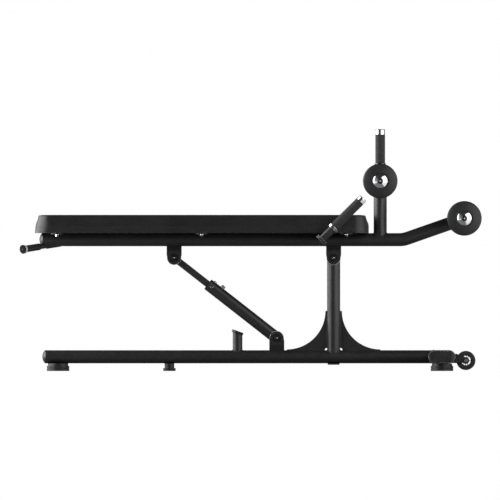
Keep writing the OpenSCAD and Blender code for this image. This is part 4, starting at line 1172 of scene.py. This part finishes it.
class BENCH_OT_rollers(Operator):
    """Turns the four foam rollers, full in the middle and pressed in at their discs"""

    bl_idname = "bench.rollers"
    bl_label = "Foam rollers"

    # Steps round the axle, rounding of the rim, radius of the lip round the disc, and
    # how the face falls from the lip: its power, and its slope's share at the rim
    segments = 240
    rim_round = 7 * MM
    lip_r = 31 * MM
    fall_power = 1.5
    slope_share = 0.84

    def roller_profile(self, radius, bore, length, settings):
        """Radius, place along the axle and creasing of the roller's outline."""
        dish = settings.dish
        run = radius - self.lip_r
        half = [
            (bore, -2.5 * MM, 0), (bore + 1 * MM, -dish, 0), (22 * MM, -dish * 0.9, 0),
            (27.6 * MM, -dish * 0.9, 0), (29.4 * MM, -0.35 * MM, 0), (self.lip_r, 0, 0),
        ]
        # Lean of the falling face where the rounding of its rim begins
        tilt = math.atan(self.fall_power * settings.fall / run * self.slope_share)
        edge_r = radius - self.rim_round * (1 - math.sin(tilt))
        for i in range(1, 7):
            r = self.lip_r + (edge_r - self.lip_r) * i / 6
            share = (r - self.lip_r) / run
            fall = settings.fall * share ** self.fall_power
            half.append((r, -fall, 0.7 * max(0, share - 0.35)))
        centre_r, centre_y = radius - self.rim_round, half[-1][1] - self.rim_round * math.cos(tilt)
        for i in range(1, 10):
            a = tilt + (math.pi / 2 - tilt) * i / 9
            half.append((
                centre_r + self.rim_round * math.sin(a),
                centre_y + self.rim_round * math.cos(a), math.sin(2 * a)))
        top = [(r, length / 2 + y, crease) for r, y, crease in half]
        flat = length / 2 + centre_y
        barrel = [
            (radius - settings.barrel * (1 - math.cos(math.pi / 2 * t)), flat * t, 0)
            for t in (1 - 2 * i / 14 for i in range(1, 14))
        ]
        low = [(r, -y, crease) for r, y, crease in reversed(top)]
        return top + barrel + low

    def creases(self, seed):
        """Uneven folds round a rim, one value for each segment."""
        dice = np.random.default_rng(seed)
        depth = np.zeros(self.segments)
        turn = np.arange(self.segments) / self.segments
        for count in (41, 57, 73, 96):
            depth += np.sin(2 * np.pi * (turn * count + dice.random()))
        gathers = 0.55 + 0.45 * np.sin(2 * np.pi * (turn * 3 + dice.random()))
        return depth / 4 * gathers

    def turned(self, profile, folds, centre, crease_depth):
        """Shell of the profile turned round the axle through the centre."""
        shell = Shell()
        starts = []
        for (c, s), fold in zip(circle(self.segments), folds):
            points = []
            for r, y, crease in profile:
                r -= crease_depth * crease * (1 + fold)
                points.append((centre.x + r * c, centre.y + y, centre.z + r * s))
            starts.append(shell.ring(points))
        shell.join(starts + starts[:1], len(profile))
        return shell

    def execute(self, context):
        settings = context.scene.bench_looks.rollers
        skin = grained_vinyl(
            "roller_skin", settings.skin, settings.skin_roughness, 0.0014).material
        for place in ("knee", "foot"):
            for side in SIDES:
                node = f"{place}_foam_{side}"
                low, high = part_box(node)
                centre = (low + high) / 2
                sleeve_low, sleeve_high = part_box(f"{place}_sleeve_{side}")
                bore = (sleeve_high.z - sleeve_low.z) / 2 + 0.1 * MM
                profile = self.roller_profile(
                    (high.z - low.z) / 2, bore, high.y - low.y, settings)
                folds = self.creases(len(place) + SIDES[side])
                shell = self.turned(profile, folds, centre, settings.crease)
                name = f"{place}_roller_{side}"
                roller = shell.piece(name, skin)
                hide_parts(node)
                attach(roller, name)
        return {"FINISHED"}


class BENCH_OT_bolt_centres(Operator):
    """Sets a small polished plug into the middle of each pivot bolt and roller disc"""

    bl_idname = "bench.bolt_centres"
    bl_label = "Bolt centres"

    # Radius of the plug and how far out it is there, in mm
    profile = ((3.1, -4.0), (3.1, -1.2), (3.0, -0.7), (2.6, -0.3), (1.8, 0.0), (0.9, 0.1))

    def plug(self, shell, centre, side, steps=24):
        """Adds a domed plug to the shell."""
        starts = [
            shell.ring([
                centre + MM * Vector((r * c, side * out, r * s)) for c, s in circle(steps)])
            for r, out in self.profile
        ]
        shell.join(starts, steps)
        for start in (starts[0], starts[-1]):
            shell.faces.append(tuple(range(start, start + steps)))

    def execute(self, context):
        chrome = finish_of("bright_chrome", chrome_plate, context.scene.bench_looks.metal)
        for body, places in (("base", base_sockets()), ("bench", bench_sockets())):
            shell = Shell()
            for centre, side in places:
                self.plug(shell, centre, side)
            plugs = shell.piece(f"{body}_bolt_centres", chrome)
            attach(plugs, body)
        return {"FINISHED"}


class BENCH_OT_ribs(Operator):
    """Lays the fine tread round the wheels"""

    bl_idname = "bench.ribs"
    bl_label = "Wheel treads"

    def execute(self, context):
        for side in SIDES:
            low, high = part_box(f"wheel_{side}")
            centre = (low + high) / 2
            tread = grown(
                f"wheel_tread_{side}", bpy.data.meshes.new("tread_seed"), ribs_round_axis, {
                    "Count": 60, "Radius": (high.z - low.z) / 2 - 0.45 * MM,
                    "Length": 0.019, "Width": 0.0016, "Height": 0.0011,
                    "Material": bpy.data.materials["moulded_wheel"],
                }, Matrix.Translation(centre) @ Matrix.Rotation(math.pi / 2, 4, "X"))
            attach(tread, f"wheel_{side}")
        return {"FINISHED"}


# Stage

STAGE_TARGET = Vector((0, 0, 0.45))
CAMERA_PLACE = (-0.0038, -6, 0.4598)
CAMERA_CLIP = (0.1, 40)
FLOOR_HALF = 9.0
WHITE = (1, 1, 1, 1)


def around(azimuth, elevation, distance):
    """Place seen from the bench's middle. Azimuth 0 is the camera's side, 90 is +X."""
    a, e = math.radians(azimuth), math.radians(elevation)
    return STAGE_TARGET + distance * Vector(
        (math.sin(a) * math.cos(e), -math.cos(a) * math.cos(e), math.sin(e)))


def add_softbox(name, place, width, height, radiance):
    """Upright area light of a given radiance, so that its reflection has that brightness."""
    light = bpy.data.lights.new(name, "AREA")
    light.shape = "RECTANGLE"
    light.size, light.size_y = width, height
    light.energy = radiance * math.pi * width * height
    lamp = add_object(name, light)
    lamp.location = place
    aim = Vector((STAGE_TARGET.x - place.x, STAGE_TARGET.y - place.y, 0))
    lamp.rotation_euler = aim.to_track_quat("-Z", "Y").to_euler()
    lamp.visible_camera = False


def dim_beyond_camera(tree, pale, dim):
    """Shows the first shader to the camera and the second to light and reflections."""
    seen = add_node(tree, "ShaderNodeLightPath").outputs["Is Camera Ray"]
    return add_node(tree, "ShaderNodeMixShader", {0: seen, 1: dim, 2: pale}).outputs[0]


def studio_world(stage):
    """White to the camera. Else dim low walls at both sides, and darkness above, behind
    and at the camera, which draws the dark lines along the upper edges."""
    world = bpy.data.worlds.new("studio")
    world.use_nodes = True
    tree = world.node_tree
    direction = add_node(tree, "ShaderNodeTexCoord").outputs["Generated"]
    parts = add_node(tree, "ShaderNodeSeparateXYZ", {"Vector": direction}).outputs
    aside = math_of(tree, "ABSOLUTE", parts["X"])
    walls = spread(tree, aside, 0, stage.rim_light, 0.30, 0.80)
    low = spread(tree, parts["Z"], 1, 0, 0.25, 0.70)
    lit = math_of(tree, "MULTIPLY_ADD", walls, low, stage.front_wall)
    dim = add_node(tree, "ShaderNodeBackground", {"Color": WHITE, "Strength": lit})
    pale = add_node(tree, "ShaderNodeBackground", {"Color": WHITE, "Strength": 1.0})
    both = dim_beyond_camera(tree, pale.outputs[0], dim.outputs[0])
    tree.links.new(both, tree.nodes["World Output"].inputs["Surface"])
    return world


def pale_floor(stage):
    """White to the camera. Light and reflections find it dull round the bench, and
    glowing beyond both of its ends."""
    finish = Finish("pale_floor", stage.floor, 0.9, specular=0)
    tree = finish.tree
    finish.set("Emission Color", WHITE)
    finish.set("Emission Strength", 0.35)
    aside = math_of(tree, "ABSOLUTE", part_of(tree, finish.coords, "X"))
    glow = add_node(tree, "ShaderNodeEmission", {
        "Color": WHITE, "Strength": spread(tree, aside, 0, stage.glow, 0.92, 1.15)})
    dimmed = add_node(tree, "ShaderNodeBsdfDiffuse", {"Color": (0.22, 0.22, 0.22, 1)})
    lit = add_node(tree, "ShaderNodeAddShader", {0: glow.outputs[0], 1: dimmed.outputs[0]})
    both = dim_beyond_camera(tree, finish.shader.outputs[0], lit.outputs[0])
    tree.links.new(both, tree.nodes["Material Output"].inputs["Surface"])
    return finish.material


class BENCH_OT_stage(Operator):
    """Sets the floor, the studio light and the camera"""

    bl_idname = "bench.stage"
    bl_label = "Stage"

    def execute(self, context):
        scene = context.scene
        stage = scene.bench_looks.stage
        scene.view_settings.view_transform = "Standard"
        corners = ((-1, -1), (1, -1), (1, 1), (-1, 1))
        floor_mesh = mesh_from(
            "floor", [(FLOOR_HALF * x, FLOOR_HALF * y, 0) for x, y in corners],
            [(0, 1, 2, 3)])
        add_object("floor", floor_mesh, pale_floor(stage))
        add_softbox(
            "left_softbox", around(azimuth=-88, elevation=28, distance=4.2),
            width=5.6, height=4.9, radiance=stage.left_light)
        add_softbox(
            "right_softbox", around(azimuth=55, elevation=20, distance=4.0),
            width=4.8, height=3.8, radiance=stage.right_light)
        scene.world = studio_world(stage)
        data = bpy.data.cameras.new("camera")
        data.type = "ORTHO"
        data.ortho_scale = stage.view_width
        data.clip_start, data.clip_end = CAMERA_CLIP
        camera = add_object("camera", data)
        camera.location = CAMERA_PLACE
        camera.rotation_euler = (math.pi / 2, 0, 0)
        scene.camera = camera
        return {"FINISHED"}


OPERATORS = (
    BENCH_OT_metal, BENCH_OT_plastic, BENCH_OT_welds, BENCH_OT_pad_cover,
    BENCH_OT_pad_sewing, BENCH_OT_rollers, BENCH_OT_bolt_centres, BENCH_OT_ribs,
    BENCH_OT_stage,
)


class BENCH_PT_panel(Panel):
    """Lists the bench's operators"""

    bl_idname = "BENCH_PT_panel"
    bl_label = "Abdominal bench"
    bl_space_type = "VIEW_3D"
    bl_region_type = "UI"
    bl_category = "Bench"

    def draw(self, context):
        for operator in OPERATORS:
            self.layout.operator(operator.bl_idname)


CLASSES = (
    BENCH_PG_metal, BENCH_PG_plastic, BENCH_PG_pad, BENCH_PG_rollers, BENCH_PG_stage,
    BENCH_PG_looks, *OPERATORS, BENCH_PT_panel,
)


def register():
    for cls in CLASSES:
        bpy.utils.register_class(cls)
    bpy.types.Scene.bench_looks = PointerProperty(type=BENCH_PG_looks)


def unregister():
    del bpy.types.Scene.bench_looks
    for cls in reversed(CLASSES):
        bpy.utils.unregister_class(cls)


def main():
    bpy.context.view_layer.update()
    register()
    for name in ("Cube", "Light", "Camera"):
        if name in bpy.data.objects:
            bpy.data.objects.remove(bpy.data.objects[name])
    for operator in OPERATORS:
        getattr(bpy.ops.bench, operator.bl_idname.split(".")[1])()


if __name__ == "__main__":
    main()
